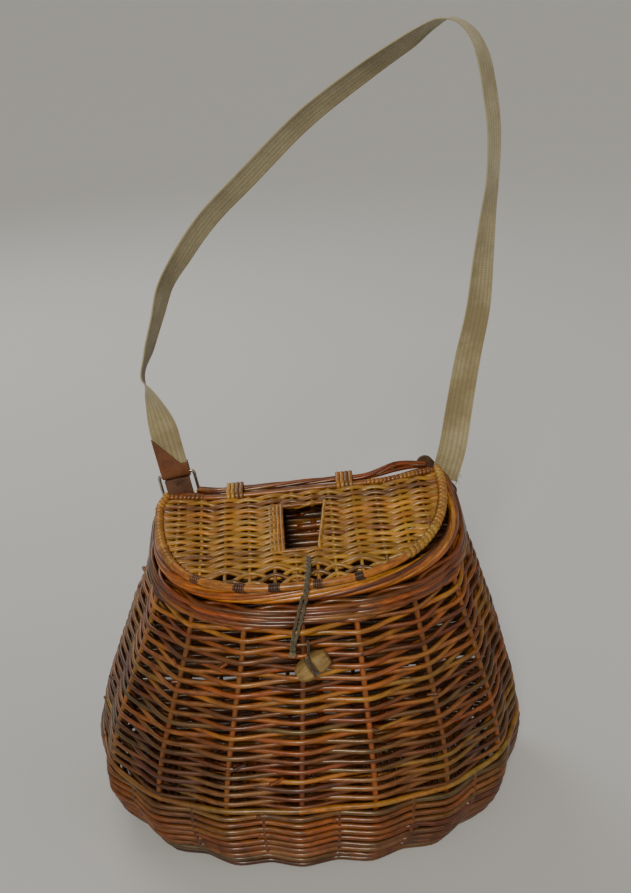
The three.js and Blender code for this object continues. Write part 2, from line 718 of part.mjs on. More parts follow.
const TOGGLE_PROFILE = [
  { along: -0.48, radius: 0.50 },
  { along: -0.44, radius: 0.66 },
  { along: -0.30, radius: 0.88 },
  { along: -0.15, radius: 1.00 },
  { along: -0.08, radius: 0.93 },
  { along: -0.065, radius: 0.62 },
  { along: 0.065, radius: 0.62 },
  { along: 0.08, radius: 0.93 },
  { along: 0.15, radius: 1.00 },
  { along: 0.31, radius: 0.90 },
  { along: 0.44, radius: 0.68 },
  { along: 0.48, radius: 0.52 },
];
const toggleLine = [new THREE.Vector2(0, TOGGLE_PROFILE[0].along * TOGGLE_LENGTH)];
for (const row of TOGGLE_PROFILE) {
  toggleLine.push(new THREE.Vector2(row.radius * TOGGLE_RADIUS, row.along * TOGGLE_LENGTH));
}
toggleLine.push(new THREE.Vector2(0, TOGGLE_PROFILE[TOGGLE_PROFILE.length - 1].along * TOGGLE_LENGTH));
const toggleGeometry = new THREE.LatheGeometry(toggleLine, 14).rotateZ(-Math.PI / 2);
addPiece(spoolAxis, 'toggle', toggleGeometry, 'boxwood');

const tie = new THREE.TorusGeometry(GROOVE_RADIUS + GAP + TIE_RADIUS, TIE_RADIUS, 6, 16).rotateY(Math.PI / 2);
addPiece(spoolAxis, 'toggle_tie', tie, 'cord_olive');

// Latch cord and its knot
const cordPoints = CORD_ROUTE.map(([x, y, z]) => new THREE.Vector3(x, y, z));
addPiece(group, 'latch_cord', rod(cordPoints, CORD_RADIUS, 24, ROD_SIDES), 'cord_olive');
const cordEnd = cordPoints[cordPoints.length - 1];
const cordHeading = cordEnd.clone().sub(cordPoints[cordPoints.length - 2]).normalize();
const knot = addPiece(group, 'latch_knot', new THREE.SphereGeometry(KNOT_RADIUS, 10, 8), 'cord_olive');
knot.position.copy(cordEnd).addScaledVector(cordHeading, KNOT_RADIUS + GAP + SLACK);

// Strap ends, which stand against the outside of the back wall

// The frame of a strap end: x across, y to the back, z up along the strap
function strapEnd(end, standOff) {
  const corner = BACK_CORNER * HALF_WIDTH;
  const x = end.across * HALF_WIDTH;
  const wall = wallPoint(1, placeAtBack(THREE.MathUtils.clamp(x, -corner, corner)), 0);
  const frame = new THREE.Group();
  frame.position.set(x, wall.y + standOff, wall.z + end.height);
  frame.rotation.y = THREE.MathUtils.degToRad(end.tilt);
  group.add(frame);
  return frame;
}

const foldInner = WIRE_RADIUS + GAP;
const foldOuter = foldInner + LEATHER;
const leftEnd = strapEnd(STRAP_END_LEFT, GAP + foldOuter);

// A plate whose outline lies in the YZ plane, centred on x = 0
function sidePlate(points, width) {
  const geometry = new THREE.ExtrudeGeometry(new THREE.Shape(points), { depth: width, bevelEnabled: false });
  geometry.translate(0, 0, -width / 2);
  return geometry.applyMatrix4(new THREE.Matrix4().makeBasis(
    new THREE.Vector3(0, 1, 0),
    new THREE.Vector3(0, 0, 1),
    new THREE.Vector3(1, 0, 0),
  ));
}

// Chape: leather folded round the buckle's upper bar and over the end of the webbing
function chapeGeometry() {
  const steps = 10;
  const outer = [new THREE.Vector2(foldOuter, CHAPE_HEIGHT)];
  const inner = [new THREE.Vector2(foldInner, CHAPE_HEIGHT)];
  const flare = (radius) => Array.from({ length: steps + 1 }, (_, i) => {
    const angle = -(Math.PI * i) / steps;
    return new THREE.Vector2(radius * Math.cos(angle), radius * Math.sin(angle));
  });
  outer.push(...flare(foldOuter), new THREE.Vector2(-foldOuter, CHAPE_HEIGHT));
  inner.push(...flare(foldInner), new THREE.Vector2(-foldInner, CHAPE_HEIGHT));
  const fold = toSolid(sidePlate([...outer, ...inner.reverse()], CHAPE_WIDTH));
  const half = CHAPE_WIDTH / 2;
  const past = LEATHER / 2;
  const wedge = [
    new THREE.Vector3(-half, 0, CHAPE_HEIGHT),
    new THREE.Vector3(half - CHAPE_STEP, 0, CHAPE_SHORT_SIDE),
    new THREE.Vector3(half + past, 0, CHAPE_SHORT_SIDE),
    new THREE.Vector3(half + past, 0, CHAPE_HEIGHT + past),
    new THREE.Vector3(-half, 0, CHAPE_HEIGHT + past),
  ];
  const depth = 2 * foldOuter;
  const rings = [-depth, depth].map((y) => wedge.map((p) => new THREE.Vector3(p.x, y, p.z)));
  return toGeometry(fold.subtract(toSolid(ringSurface(rings.reverse(), false))));
}
addPiece(leftEnd, 'strap_chape', chapeGeometry(), 'leather');

// Buckle: a round wire bent to a rectangle, its upper bar in the fold
function buckleGeometry() {
  const rings = [];
  const sides = 8;
  const cornerSteps = 3;
  const halfX = BUCKLE_WIDTH / 2 - WIRE_RADIUS - BUCKLE_CORNER;
  const halfZ = BUCKLE_HEIGHT / 2 - WIRE_RADIUS - BUCKLE_CORNER;
  const centres = [[halfX, halfZ], [-halfX, halfZ], [-halfX, -halfZ], [halfX, -halfZ]];
  centres.forEach(([x, z], k) => {
    for (let i = 0; i <= cornerSteps; i += 1) {
      const angle = (k + i / cornerSteps) * (Math.PI / 2);
      const outward = new THREE.Vector3(Math.cos(angle), 0, Math.sin(angle));
      const middle = new THREE.Vector3(x, 0, z).addScaledVector(outward, BUCKLE_CORNER);
      const ring = [];
      for (let j = 0; j < sides; j += 1) {
        const round = (j / sides) * Math.PI * 2;
        const point = middle.clone().addScaledVector(outward, WIRE_RADIUS * Math.cos(round));
        ring.push(point.setY(WIRE_RADIUS * Math.sin(round)));
      }
      rings.push(ring);
    }
  });
  return ringSurface(rings, true).translate(0, 0, -(BUCKLE_HEIGHT / 2 - WIRE_RADIUS));
}
addPiece(leftEnd, 'buckle', buckleGeometry(), 'steel');

// Billet: leather in front of the buckle's lower bar, down the outside of the wall, with one hole
function billetGeometry() {
  const half = BILLET_WIDTH / 2;
  const top = -(foldOuter + GAP);
  const bottom = top - BILLET_LENGTH;
  const outline = [new THREE.Vector2(half, top), new THREE.Vector2(-half, top)];
  const steps = 8;
  for (let i = 0; i <= steps; i += 1) {
    const angle = Math.PI + (Math.PI * i) / steps;
    outline.push(new THREE.Vector2(half * Math.cos(angle), bottom + half + half * Math.sin(angle)));
  }
  const shape = new THREE.Shape(outline);
  const hole = new THREE.Path();
  hole.absarc(0, top - BUCKLE_HEIGHT / 4, BILLET_HOLE / 2, 0, Math.PI * 2, true);
  shape.holes.push(hole);
  const options = { depth: LEATHER, bevelEnabled: false, curveSegments: steps };
  const geometry = new THREE.ExtrudeGeometry(shape, options);
  return geometry.rotateX(Math.PI / 2).translate(0, -(WIRE_RADIUS + GAP), 0);
}
addPiece(leftEnd, 'billet', billetGeometry(), 'leather');

// Tab: a leather strip with round ends behind the right end of the webbing
const rightStandOff = GAP + WEBBING_THICKNESS / 2;
const rightEnd = strapEnd(STRAP_END_RIGHT, rightStandOff);

function tabGeometry() {
  const outline = [];
  const steps = 8;
  const reach = (TAB_LENGTH - TAB_WIDTH) / 2;
  for (const side of [1, -1]) {
    for (let i = 0; i <= steps; i += 1) {
      const angle = -Math.PI / 2 + (Math.PI * i) / steps;
      const x = side * (reach + (TAB_WIDTH / 2) * Math.cos(angle));
      outline.push(new THREE.Vector2(x, side * (TAB_WIDTH / 2) * Math.sin(angle)));
    }
  }
  const shape = new THREE.Shape(outline);
  return new THREE.ExtrudeGeometry(shape, { depth: LEATHER, bevelEnabled: false }).rotateX(Math.PI / 2);
}
const tab = addPiece(rightEnd, 'strap_tab', tabGeometry(), 'leather');
tab.position.set(TAB_SHIFT, WEBBING_THICKNESS / 2 + GAP + LEATHER, TAB_RISE);
tab.rotation.y = TAB_TURN;

// Webbing
function strapGeometry() {
  leftEnd.updateMatrixWorld(true);
  rightEnd.updateMatrixWorld(true);
  const straight = (frame, height) => ({
    at: new THREE.Vector3(0, 0, height).applyMatrix4(frame.matrixWorld),
    turn: 0,
  });
  // The webbing stays straight in the chape and a little above it
  const low = WEBBING_THICKNESS + foldInner;
  const high = CHAPE_HEIGHT + 2 * LEATHER;
  const route = [low, CHAPE_HEIGHT / 2, CHAPE_HEIGHT, high].map((height) => straight(leftEnd, height));
  for (const row of STRAP_PATH) {
    const at = leftEnd.position.clone().lerp(rightEnd.position, row.across);
    at.y += row.lean * STRAP_LEAN;
    at.z += row.up * STRAP_RISE;
    route.push({ at, turn: THREE.MathUtils.degToRad(row.turn) });
  }
  // Its right end is straight as far as the tab reaches
  const tabTop = TAB_RISE + TAB_LENGTH / 2 + TAB_WIDTH / 4;
  route.push(...[tabTop, TAB_RISE, 0].map((height) => straight(rightEnd, height)));
  const path = new THREE.CatmullRomCurve3(route.map((row) => row.at), false, 'centripetal');
  const rings = [];
  const perRow = 3;
  const last = route.length - 1;
  for (let i = 0; i <= last * perRow; i += 1) {
    const t = i / (last * perRow);
    const centre = path.getPoint(t);
    const along = path.getTangent(t);
    const row = Math.min(Math.floor(t * last), last - 1);
    const turn = THREE.MathUtils.lerp(route[row].turn, route[row + 1].turn, t * last - row);
    const flat = along.clone().cross(new THREE.Vector3(0, 1, 0)).normalize();
    const face = flat.clone().cross(along).normalize();
    const across = flat.clone().multiplyScalar(Math.cos(turn)).addScaledVector(face, Math.sin(turn));
    const outward = across.clone().cross(along).normalize();
    const ring = [];
    for (const [w, n] of [[1, 1], [1, -1], [-1, -1], [-1, 1]]) {
      const point = centre.clone().addScaledVector(across, (w * WEBBING_WIDTH) / 2);
      ring.push(point.addScaledVector(outward, (n * WEBBING_THICKNESS) / 2));
    }
    rings.push(ring);
  }
  return ringSurface(rings, false);
}
addPiece(group, 'strap', strapGeometry(), 'webbing');

export default group;
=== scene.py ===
import math

import bmesh
import bpy
import numpy as np
from mathutils import Matrix, Vector


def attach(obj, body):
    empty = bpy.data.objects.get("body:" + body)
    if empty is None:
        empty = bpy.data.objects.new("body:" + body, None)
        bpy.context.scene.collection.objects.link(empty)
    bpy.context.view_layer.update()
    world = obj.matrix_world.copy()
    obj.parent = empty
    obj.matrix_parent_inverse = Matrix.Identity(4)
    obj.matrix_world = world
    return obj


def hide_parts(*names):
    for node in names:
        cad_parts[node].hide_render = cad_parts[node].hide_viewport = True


# A wicker fishing creel. Lengths are in millimetres until a mesh is made, and in metres in Blender.

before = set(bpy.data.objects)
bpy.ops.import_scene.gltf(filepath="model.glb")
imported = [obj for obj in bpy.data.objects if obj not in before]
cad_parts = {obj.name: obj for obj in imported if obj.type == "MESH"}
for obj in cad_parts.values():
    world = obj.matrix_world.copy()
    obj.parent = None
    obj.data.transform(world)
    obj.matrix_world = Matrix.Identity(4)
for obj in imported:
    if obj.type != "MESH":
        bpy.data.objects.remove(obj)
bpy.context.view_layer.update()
MM = 0.001

# Photograph and camera
IMAGE_HEIGHT = 893
FOCAL_PIXELS = 1077
CAMERA_PLACE = Vector((-12.67, -825.1, 692.7))
CAMERA_DOWN = math.radians(24)
CAMERA_TURN = math.radians(-1.848)
CAMERA_ROLL = math.radians(-1.885)


def add_object(name, data):
    obj = bpy.data.objects.new(name, data)
    bpy.context.scene.collection.objects.link(obj)
    return obj


def make_camera():
    data = bpy.data.cameras.new("photo_camera")
    data.sensor_fit = "VERTICAL"
    data.sensor_height = 24
    data.lens = FOCAL_PIXELS / IMAGE_HEIGHT * data.sensor_height
    data.clip_start = 0.02
    camera = add_object("photo_camera", data)
    level = math.cos(CAMERA_DOWN)
    ahead = Vector((-math.sin(CAMERA_TURN) * level, math.cos(CAMERA_TURN) * level, -math.sin(CAMERA_DOWN)))
    right = Vector((math.cos(CAMERA_TURN), math.sin(CAMERA_TURN), 0))
    up = right.cross(ahead)
    rolled_right = right * math.cos(CAMERA_ROLL) + up * math.sin(CAMERA_ROLL)
    rolled_up = up * math.cos(CAMERA_ROLL) - right * math.sin(CAMERA_ROLL)
    axes = Matrix((rolled_right, rolled_up, -ahead)).transposed().to_4x4()
    camera.matrix_world = Matrix.Translation(CAMERA_PLACE * MM) @ axes
    bpy.context.scene.camera = camera


make_camera()

# Sizes shared with the CAD model
HALF_WIDTH = 192
FRONT_DEPTH = 145
BACK_DEPTH = 52
BACK_HOLLOW = 12
HOLLOW_FLAT = 0.5
HOLLOW_END = 0.9
RIM_HEIGHT = 265
RIM_SLOPE = math.radians(12)
RIM_TILT = math.radians(3.6)
FRONT_ROUNDNESS = 2.45
BACK_SQUARENESS = 6
LOWER_WALE_HEIGHT = 72
TOP_WALE_HEIGHT = 13
BORDER_WIDTH = 11
BORDER_HEIGHT = 14
STAKES = 16
STAKE_PHASE = -0.012
BODY_SECTIONS = (
    (0.00, 0.000, 0.875, 0.955, 0.93),
    (0.07, 0.000, 0.955, 0.980, 0.98),
    (0.20, 0.000, 1.000, 1.000, 1.00),
    (0.40, 0.005, 0.965, 0.970, 1.00),
    (0.62, 0.013, 0.861, 0.880, 1.00),
    (0.82, 0.020, 0.755, 0.770, 1.00),
    (1.00, 0.017, 0.685, 0.665, 1.00),
)
SHIFT, WIDTH, FRONT, BACK = 1, 2, 3, 4

LID_HALF_WIDTH = 127
LID_REACH = 125
LID_ROUNDNESS_LEFT = 2.9
LID_ROUNDNESS_RIGHT = 2.35
LID_CORNER_SETBACK = 8
LID_BACK_STRAIGHT = 0.5
LID_SWEEP = 0.97
BOW_RADIUS = 3.7
BACK_ROD_RADIUS = 3
CORNER_LEFT = -117.3
CORNER_RIGHT = 122.3
HINGE_Y = 23.5
LID_LIFT = 4.1
SLOT_BACK_WIDTH = 34
SLOT_FRONT_WIDTH = 26
SLOT_LENGTH = 55
SLOT_SETBACK = 23
SLOT_CENTRE = 1
SLOT_SKEW = 4

# The latch cord's route, from behind the bow to the knot at its end
CORD_LENGTH = 87
CORD_ROUTE = (
    (3.0, -70.5, 259.9),
    (2.7, -76.0, 258.9),
    (2.3, -81.5, 257.9),
    (1.8, -86.5, 257.0),
    (1.3, -91.5, 256.0),
    (0.8, -96.5, 255.0),
    (0.3, -100.2, 252.4),
    (-0.4, -101.6, 248.2),
    (-1.3, -101.4, 243.5),
    (-2.4, -101.2, 238.8),
    (-3.7, -102.0, 234.2),
    (-5.1, -103.6, 229.6),
    (-6.6, -105.2, 224.8),
    (-8.1, -106.8, 219.9),
    (-9.6, -108.4, 215.0),
    (-11.0, -110.1, 210.0),
    (-12.2, -111.8, 205.0),
    (-12.9, -113.4, 200.2),
)

TOP = np.array((0.0, 0.0, 1.0))
# For pieces whose material doesn't read a tint
PLAIN_TINT = (0.2, 0.2, 0.2)


def unit(vectors):
    return vectors / np.maximum(np.linalg.norm(vectors, axis=-1, keepdims=True), 1e-9)


def smooth(value, low, high):
    t = np.clip((np.asarray(value, float) - low) / (high - low), 0, 1)
    return t * t * (3 - 2 * t)


def run_along(points, power=1):
    """The sum of a line's steps up to each point, each step raised to a power."""
    steps = np.linalg.norm(np.diff(points, axis=0), axis=1) ** power
    return np.concatenate(((0,), np.cumsum(steps)))


def read_between(at, run, table):
    """Rows read off between a table's own rows."""
    return np.stack([np.interp(at, run, column) for column in table.T], axis=1)


def stretch(line, start, end, steps):
    """Even samples of part of a line, from one length along it to another."""
    return read_between(np.linspace(start, end, steps), run_along(line), line)


def spline(points, steps, fine_steps=24):
    """Even samples of a centripetal curve through the points."""
    points = np.asarray(points, float)
    ghosts = np.vstack((2 * points[0] - points[1], points, 2 * points[-1] - points[-2]))
    knots = run_along(ghosts, 0.5)
    fine = []
    for i in range(1, len(ghosts) - 2):
        t = np.linspace(knots[i], knots[i + 1], fine_steps, endpoint=False)[:, None]
        near = ghosts[i - 1 : i + 3]
        k = knots[i - 1 : i + 3]
        a = [near[j] + (near[j + 1] - near[j]) * (t - k[j]) / (k[j + 1] - k[j]) for j in range(3)]
        b = [a[j] + (a[j + 1] - a[j]) * (t - k[j]) / (k[j + 2] - k[j]) for j in range(2)]
        fine.append(b[0] + (b[1] - b[0]) * (t - k[1]) / (k[2] - k[1]))
    fine = np.vstack(fine + [points[-1:]])
    return stretch(fine, 0, run_along(fine)[-1], steps)


def wander(rng, count, waves, amount):
    """A smooth random line of that many samples."""
    t = np.linspace(0, 1, count)
    line = np.zeros(count)
    for wave in range(1, waves + 1):
        line += rng.normal() * np.sin(2 * math.pi * (wave * t + rng.random())) / wave
    return amount * line


def frame_along(line, upright=TOP, closed=False):
    """Directions beside and above a line at each of its points."""
    if closed:
        along = unit(np.roll(line, -1, axis=0) - np.roll(line, 1, axis=0))
    else:
        along = unit(np.gradient(line, axis=0))
    aside = unit(np.cross(along, np.broadcast_to(upright, line.shape)))
    return aside, np.cross(aside, along)


class Rods:
    """Gathers many rods, strips and wires into one mesh with a tint for each."""

    def __init__(self):
        self.points = []
        self.faces = []
        self.coords = []
        self.tints = []
        self.count = 0

    def add(self, rings, tint=PLAIN_TINT, closed=False):
        """One tube through rings of points, shaped (steps, sides, 3)."""
        steps, sides, _ = rings.shape
        flat = rings.reshape(-1, 3)
        start = self.count
        run = run_along(rings.mean(axis=1))
        ring = np.arange(steps if closed else steps - 1)[:, None]
        side = np.arange(sides)[None, :]
        ahead = (ring + 1) % steps
        beside = (side + 1) % sides
        corners = ((ring, side), (ring, beside), (ahead, beside), (ahead, side))
        quads = np.stack([start + i * sides + j for i, j in corners], axis=-1)
        self.faces.extend(quads.reshape(-1, 4).tolist())
        if not closed:
            self.faces.append([start + i for i in range(sides)][::-1])
            self.faces.append([start + (steps - 1) * sides + i for i in range(sides)])
        self.points.append(flat)
        around = np.tile(np.arange(sides) / sides, steps)
        self.coords.append(np.stack((np.repeat(run, sides) * MM, around), axis=1))
        self.tints.append(np.tile(np.append(np.asarray(tint, float), 1.0), (len(flat), 1)))
        self.count += len(flat)

    def rod(self, path, radius, tint=PLAIN_TINT, sides=8, upright=TOP, closed=False, squash=1.0):
        """A round or flattened rod along a path; upright is any direction off the path."""
        path = np.asarray(path, float)
        aside, lift = frame_along(path, upright, closed)
        angle = np.arange(sides) / sides * 2 * math.pi
        radius = np.broadcast_to(np.asarray(radius, float), (len(path),))[:, None, None]
        ring = np.cos(angle)[None, :, None] * aside[:, None, :]
        ring = ring + squash * np.sin(angle)[None, :, None] * lift[:, None, :]
        self.add(path[:, None, :] + radius * ring, tint, closed)

    def build(self, name, material, transform=None):
        points = np.vstack(self.points)
        if transform is not None:
            points = points @ np.array(transform.to_3x3()).T + np.array(transform.translation)
        mesh = bpy.data.meshes.new(name)
        mesh.from_pydata((points * MM).tolist(), [], self.faces)
        mesh.update()
        mesh.polygons.foreach_set("use_smooth", [True] * len(mesh.polygons))
        loops = np.empty(len(mesh.loops), dtype=np.int64)
        mesh.loops.foreach_get("vertex_index", loops)
        coords = np.vstack(self.coords)[loops]
        starts = np.empty(len(mesh.polygons), dtype=np.int64)
        sizes = np.empty(len(mesh.polygons), dtype=np.int64)
        mesh.polygons.foreach_get("loop_start", starts)
        mesh.polygons.foreach_get("loop_total", sizes)
        # The last side of a ring runs on to 1, not back to 0
        quad = starts[sizes == 4]
        corners = coords[quad[:, None] + np.arange(4), 1]
        wraps = (corners.max(axis=1) - corners.min(axis=1)) > 0.5
        for corner in range(4):
            at = quad[wraps] + corner
            coords[at, 1] = np.where(coords[at, 1] < 0.25, coords[at, 1] + 1, coords[at, 1])
        layer = mesh.uv_layers.new(name="rod")
        layer.data.foreach_set("uv", coords.ravel())
        tint = mesh.color_attributes.new("tint", "FLOAT_COLOR", "POINT")
        tint.data.foreach_set("color", np.vstack(self.tints).ravel())
        mesh.materials.append(material)
        return add_object(name, mesh)


def start_rods(seed):
    return np.random.default_rng(seed), Rods()


def place_piece(obj, body, slot, *nodes):
    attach(obj, body)
    if nodes:
        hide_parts(*nodes)


# Shader nodes: an input takes a value or another node's output
def socket(tree, source, target):
    if hasattr(source, "is_output"):
        tree.links.new(source, target)
    elif target.type == "RGBA":
        target.default_value = (*source, 1.0)
    else:
        target.default_value = source


def connect(tree, node, **inputs):
    """Fills a node's inputs, named with an underscore for each space."""
    for name, source in inputs.items():
        socket(tree, source, node.inputs[name.replace("_", " ")])
    return node


def new_node(tree, kind, **inputs):
    return connect(tree, tree.nodes.new("ShaderNode" + kind), **inputs)


def new_material(name):
    material = bpy.data.materials.new(name)
    material.use_nodes = True
    tree = material.node_tree
    return material, tree, tree.nodes["Principled BSDF"]


def noise(tree, coords, size, detail=4, scale=(1, 1, 1)):
    """Noise over coordinates that are first scaled along each axis."""
    placed = new_node(tree, "Mapping", Vector=coords, Scale=scale).outputs["Vector"]
    texture = new_node(tree, "TexNoise", Vector=placed, Scale=size, Detail=detail, Roughness=0.6)
    return texture.outputs["Fac"]


def ramp(tree, value, low, high, low_value=0.0, high_value=1.0):
    """A linear remap with its ends held."""
    node = new_node(tree, "MapRange", Value=value, From_Min=low, From_Max=high)
    return connect(tree, node, To_Min=low_value, To_Max=high_value).outputs["Result"]


def mix(tree, factor, first, second, blend="MIX"):
    node = tree.nodes.new("ShaderNodeMix")
    node.data_type = "RGBA"
    node.blend_type = blend
    node.clamp_factor = True
    socket(tree, factor, node.inputs[0])
    socket(tree, first, node.inputs[6])
    socket(tree, second, node.inputs[7])
    return node.outputs[2]


def times(tree, colour, by):
    return mix(tree, 1.0, colour, by, "MULTIPLY")


def calculate(tree, operation, first, second=0.0):
    node = tree.nodes.new("ShaderNodeMath")
    node.operation = operation
    socket(tree, first, node.inputs[0])
    socket(tree, second, node.inputs[1])
    return node.outputs[0]


def from_value(tree, value, middle):
    """How far a value is from a middle, on either side of it."""
    return calculate(tree, "ABSOLUTE", calculate(tree, "SUBTRACT", value, middle))


def weighted(tree, first, first_share, second, second_share):
    first = calculate(tree, "MULTIPLY", first, first_share)
    return calculate(tree, "ADD", first, calculate(tree, "MULTIPLY", second, second_share))


def bump(tree, shader, height, strength, distance):
    node = new_node(tree, "Bump", Height=height, Strength=strength, Distance=distance)
    connect(tree, shader, Normal=node.outputs["Normal"])


def object_coords(tree):
    return tree.nodes.new("ShaderNodeTexCoord").outputs["Object"]


def rod_coords(tree):
    """Coordinates along a rod in metres, and once round it."""
    node = tree.nodes.new("ShaderNodeUVMap")
    node.uv_map = "rod"
    return node.outputs["UV"]


def parts(tree, vector):
    """The X, Y and Z of a vector."""
    return tuple(new_node(tree, "SeparateXYZ", Vector=vector).outputs)


BROWN_STAIN = (0.05, 0.03, 0.015)
YELLOW_STAIN = (0.12, 0.09, 0.04)
# The dark colour painted as shade on the side of a rod that faces into the basket, where little light
# reaches
INSIDE_SHADE = (0.050, 0.022, 0.010)
# Where on the way round a rod its side that faces into the basket is
INNER_SIDE = 0.75


def willow(name, gloss, dirt, stain=BROWN_STAIN, inner=0.0, flank_shade=0.0, redness=1.0):
    """Varnished willow: the rod's own tint with streaks, knots, dirt and a worn shine, and painted shade
    on the side that faces into the basket and towards the basket's ends and foot.
    """
    material, tree, shader = new_material(name)
    attribute = tree.nodes.new("ShaderNodeAttribute")
    attribute.attribute_name = "tint"
    tint = attribute.outputs["Color"]
    rod = rod_coords(tree)
    space = object_coords(tree)
    streaks = noise(tree, rod, 1.6, 5, (60, 3, 1))
    blotches = noise(tree, rod, 1, 3, (22, 0.6, 1))
    patches = noise(tree, space, 28, 3)
    fine = noise(tree, rod, 1, 2, (90, 26, 1))
    lengths = noise(tree, rod, 1, 2, (9, 0.2, 1))
    dark = times(tree, tint, (0.40, 0.30, 0.24))
    light = times(tree, tint, (1.65, 1.55, 1.25))
    reddish = times(tree, tint, (1.25, 0.72, 0.55))
    colour = mix(tree, ramp(tree, lengths, 0.44, 0.60, 1 - redness, 1.0), reddish, tint)
    colour = mix(tree, ramp(tree, streaks, 0.35, 0.66), dark, colour)
    colour = mix(tree, ramp(tree, blotches, 0.50, 0.78, 0.0, 0.8), colour, light)
    colour = mix(tree, ramp(tree, patches, 0.50, 0.75, 0.0, dirt), colour, stain)
    # Painted shade: the colour turns duller and browner towards the basket's ends and foot, where less
    # light falls than on its front
    side, _, height = parts(tree, space)
    low = calculate(tree, "SUBTRACT", 0.12, calculate(tree, "MULTIPLY", height, 0.6))
    reach = calculate(tree, "ADD", calculate(tree, "ABSOLUTE", side), low)
    dull = times(tree, colour, (0.58, 0.66, 0.80))
    colour = mix(tree, ramp(tree, reach, 0.06, 0.19, 0.0, flank_shade), colour, dull)
    # Painted shade: the side of each rod that faces into the basket is darkened, as little light reaches
    # the inside
    turned = from_value(tree, parts(tree, rod)[1], INNER_SIDE)
    colour = mix(tree, ramp(tree, turned, 0.12, 0.27, inner, 0.0), colour, INSIDE_SHADE)
    rough = ramp(tree, blotches, 0.3, 0.7, gloss + 0.16, gloss)
    connect(tree, shader, Base_Color=colour, Roughness=rough, Specular_IOR_Level=0.4)
    connect(tree, shader, Coat_Weight=0.32, Coat_Roughness=0.16)
    bump(tree, shader, weighted(tree, streaks, 0.6, fine, 0.4), 0.35, 0.0006)
    return material


def twine(name, colour, dark, scale):
    """Twisted fibre, dull and darker in its grooves."""
    material, tree, shader = new_material(name)
    fibres = noise(tree, rod_coords(tree), 1, 4, (scale, 8, 1))
    stains = noise(tree, object_coords(tree), 160, 2)
    base = mix(tree, ramp(tree, fibres, 0.35, 0.65), dark, colour)
    base = mix(tree, ramp(tree, stains, 0.50, 0.80, 0.0, 0.4), base, (0.24, 0.20, 0.12))
    connect(tree, shader, Base_Color=base, Roughness=0.9, Sheen_Weight=0.3)
    bump(tree, shader, fibres, 0.6, 0.0006)
    return material


# Wall of the basket
def table_value(column, at):
    """A monotone curve through one column of the body's sections."""
    rows = BODY_SECTIONS
    last = len(rows) - 1
    if at <= rows[0][0]:
        return rows[0][column]
    if at >= rows[last][0]:
        return rows[last][column]
    i = 0
    while rows[i + 1][0] < at:
        i += 1

    def slope(j):
        low, high = max(j - 1, 0), min(j + 1, last)
        return (rows[high][column] - rows[low][column]) / (rows[high][0] - rows[low][0])

    span = rows[i + 1][0] - rows[i][0]
    t = (at - rows[i][0]) / span
    a, b = rows[i][column], rows[i + 1][column]
    value = (2 * t**3 - 3 * t**2 + 1) * a + (t**3 - 2 * t**2 + t) * span * slope(i)
    value += (3 * t**2 - 2 * t**3) * b + (t**3 - t**2) * span * slope(i + 1)
    return min(max(value, min(a, b)), max(a, b))


PLAN_STEPS = 720
plans = {}


def plan(level):
    """The outline at a level: share of its length, points and ways out."""
    key = round(level, 5)
    if key in plans:
        return plans[key]
    half = HALF_WIDTH * table_value(WIDTH, level)
    front = FRONT_DEPTH * table_value(FRONT, level)
    back = BACK_DEPTH * table_value(BACK, level)
    shift = HALF_WIDTH * table_value(SHIFT, level)
    angle = np.linspace(0, 2 * math.pi, PLAN_STEPS + 1)
    s, c = np.sin(angle), np.cos(angle)
    ahead = c > 0
    power = np.where(ahead, FRONT_ROUNDNESS, BACK_SQUARENESS)
    depth = np.where(ahead, front, back)
    radius = (np.abs(s / half) ** power + np.abs(c / depth) ** power) ** (-1 / power)
    x = radius * s
    hollow = np.where(ahead, 0, BACK_HOLLOW * (1 - smooth(np.abs(x) / half, HOLLOW_FLAT, HOLLOW_END)))
    points = np.stack((x + shift, -radius * c - hollow), axis=1)
    along = run_along(points)
    ring = points[:-1]
    turn = np.roll(ring, -3, axis=0) - np.roll(ring, 3, axis=0)
    outs = unit(np.stack((turn[:, 1], -turn[:, 0]), axis=1))
    outs = np.vstack((outs, outs[:1]))
    plans[key] = (along / along[-1], points, outs)
    return plans[key]


def plan_points(level, places):
    share, points, outs = plan(level)
    places = np.mod(places, 1.0)
    return read_between(places, share, points), unit(read_between(places, share, outs))


BORDER_BOTTOM = 1 - BORDER_HEIGHT / RIM_HEIGHT


def rim_plane(x, y):
    return RIM_HEIGHT + x * math.tan(RIM_TILT) + y * math.tan(RIM_SLOPE)


def wall_points(level, places, inset, lift=0.0):
    """Points of the wall at one level, inset from its outer face, and the ways out."""
    places = np.atleast_1d(np.asarray(places, float))
    at, out = plan_points(level, places)
    xy = at - out * np.broadcast_to(inset, places.shape)[:, None]
    top = rim_plane(xy[:, 0], xy[:, 1])
    z = (level / BORDER_BOTTOM) * (top - BORDER_HEIGHT) if level < 1 else top
    points = np.column_stack((xy, z + lift))
    return points, np.column_stack((out, np.zeros(len(places))))


def wall_point(level, place, inset, lift=0.0):
    return wall_points(level, place, inset, lift)[0][0]


def wall_line(levels, places, insets):
    """A line up the wall, at one place or at a place for each level."""
    places = np.broadcast_to(places, np.shape(levels))
    rows = [wall_point(*row) for row in zip(levels, places, insets)]
    return np.array(rows)


def tinted(rng, palette, weights, spread=0.14):
    """A colour drawn from a palette by its weights, made a little lighter or darker."""
    colour = np.array(palette[rng.choice(len(palette), p=np.array(weights) / sum(weights))])
    shade = 1 + rng.normal() * spread
    warm = 1 + rng.normal(size=3) * 0.04
    return np.clip(colour * shade * warm, 0.004, 0.9)


BROWN = (0.160, 0.061, 0.015)
ORANGE = (0.270, 0.102, 0.016)
TAN = (0.240, 0.118, 0.030)
RED = (0.175, 0.052, 0.012)
PURPLE = (0.095, 0.036, 0.016)
GOLD = (0.350, 0.178, 0.025)
YELLOW = (0.470, 0.265, 0.030)
OLIVE = (0.150, 0.092, 0.024)
BODY_TINTS = ((BROWN, ORANGE, TAN, RED, PURPLE, GOLD, OLIVE), (5, 6, 3.5, 1.2, 1.2, 0.6, 1.2))

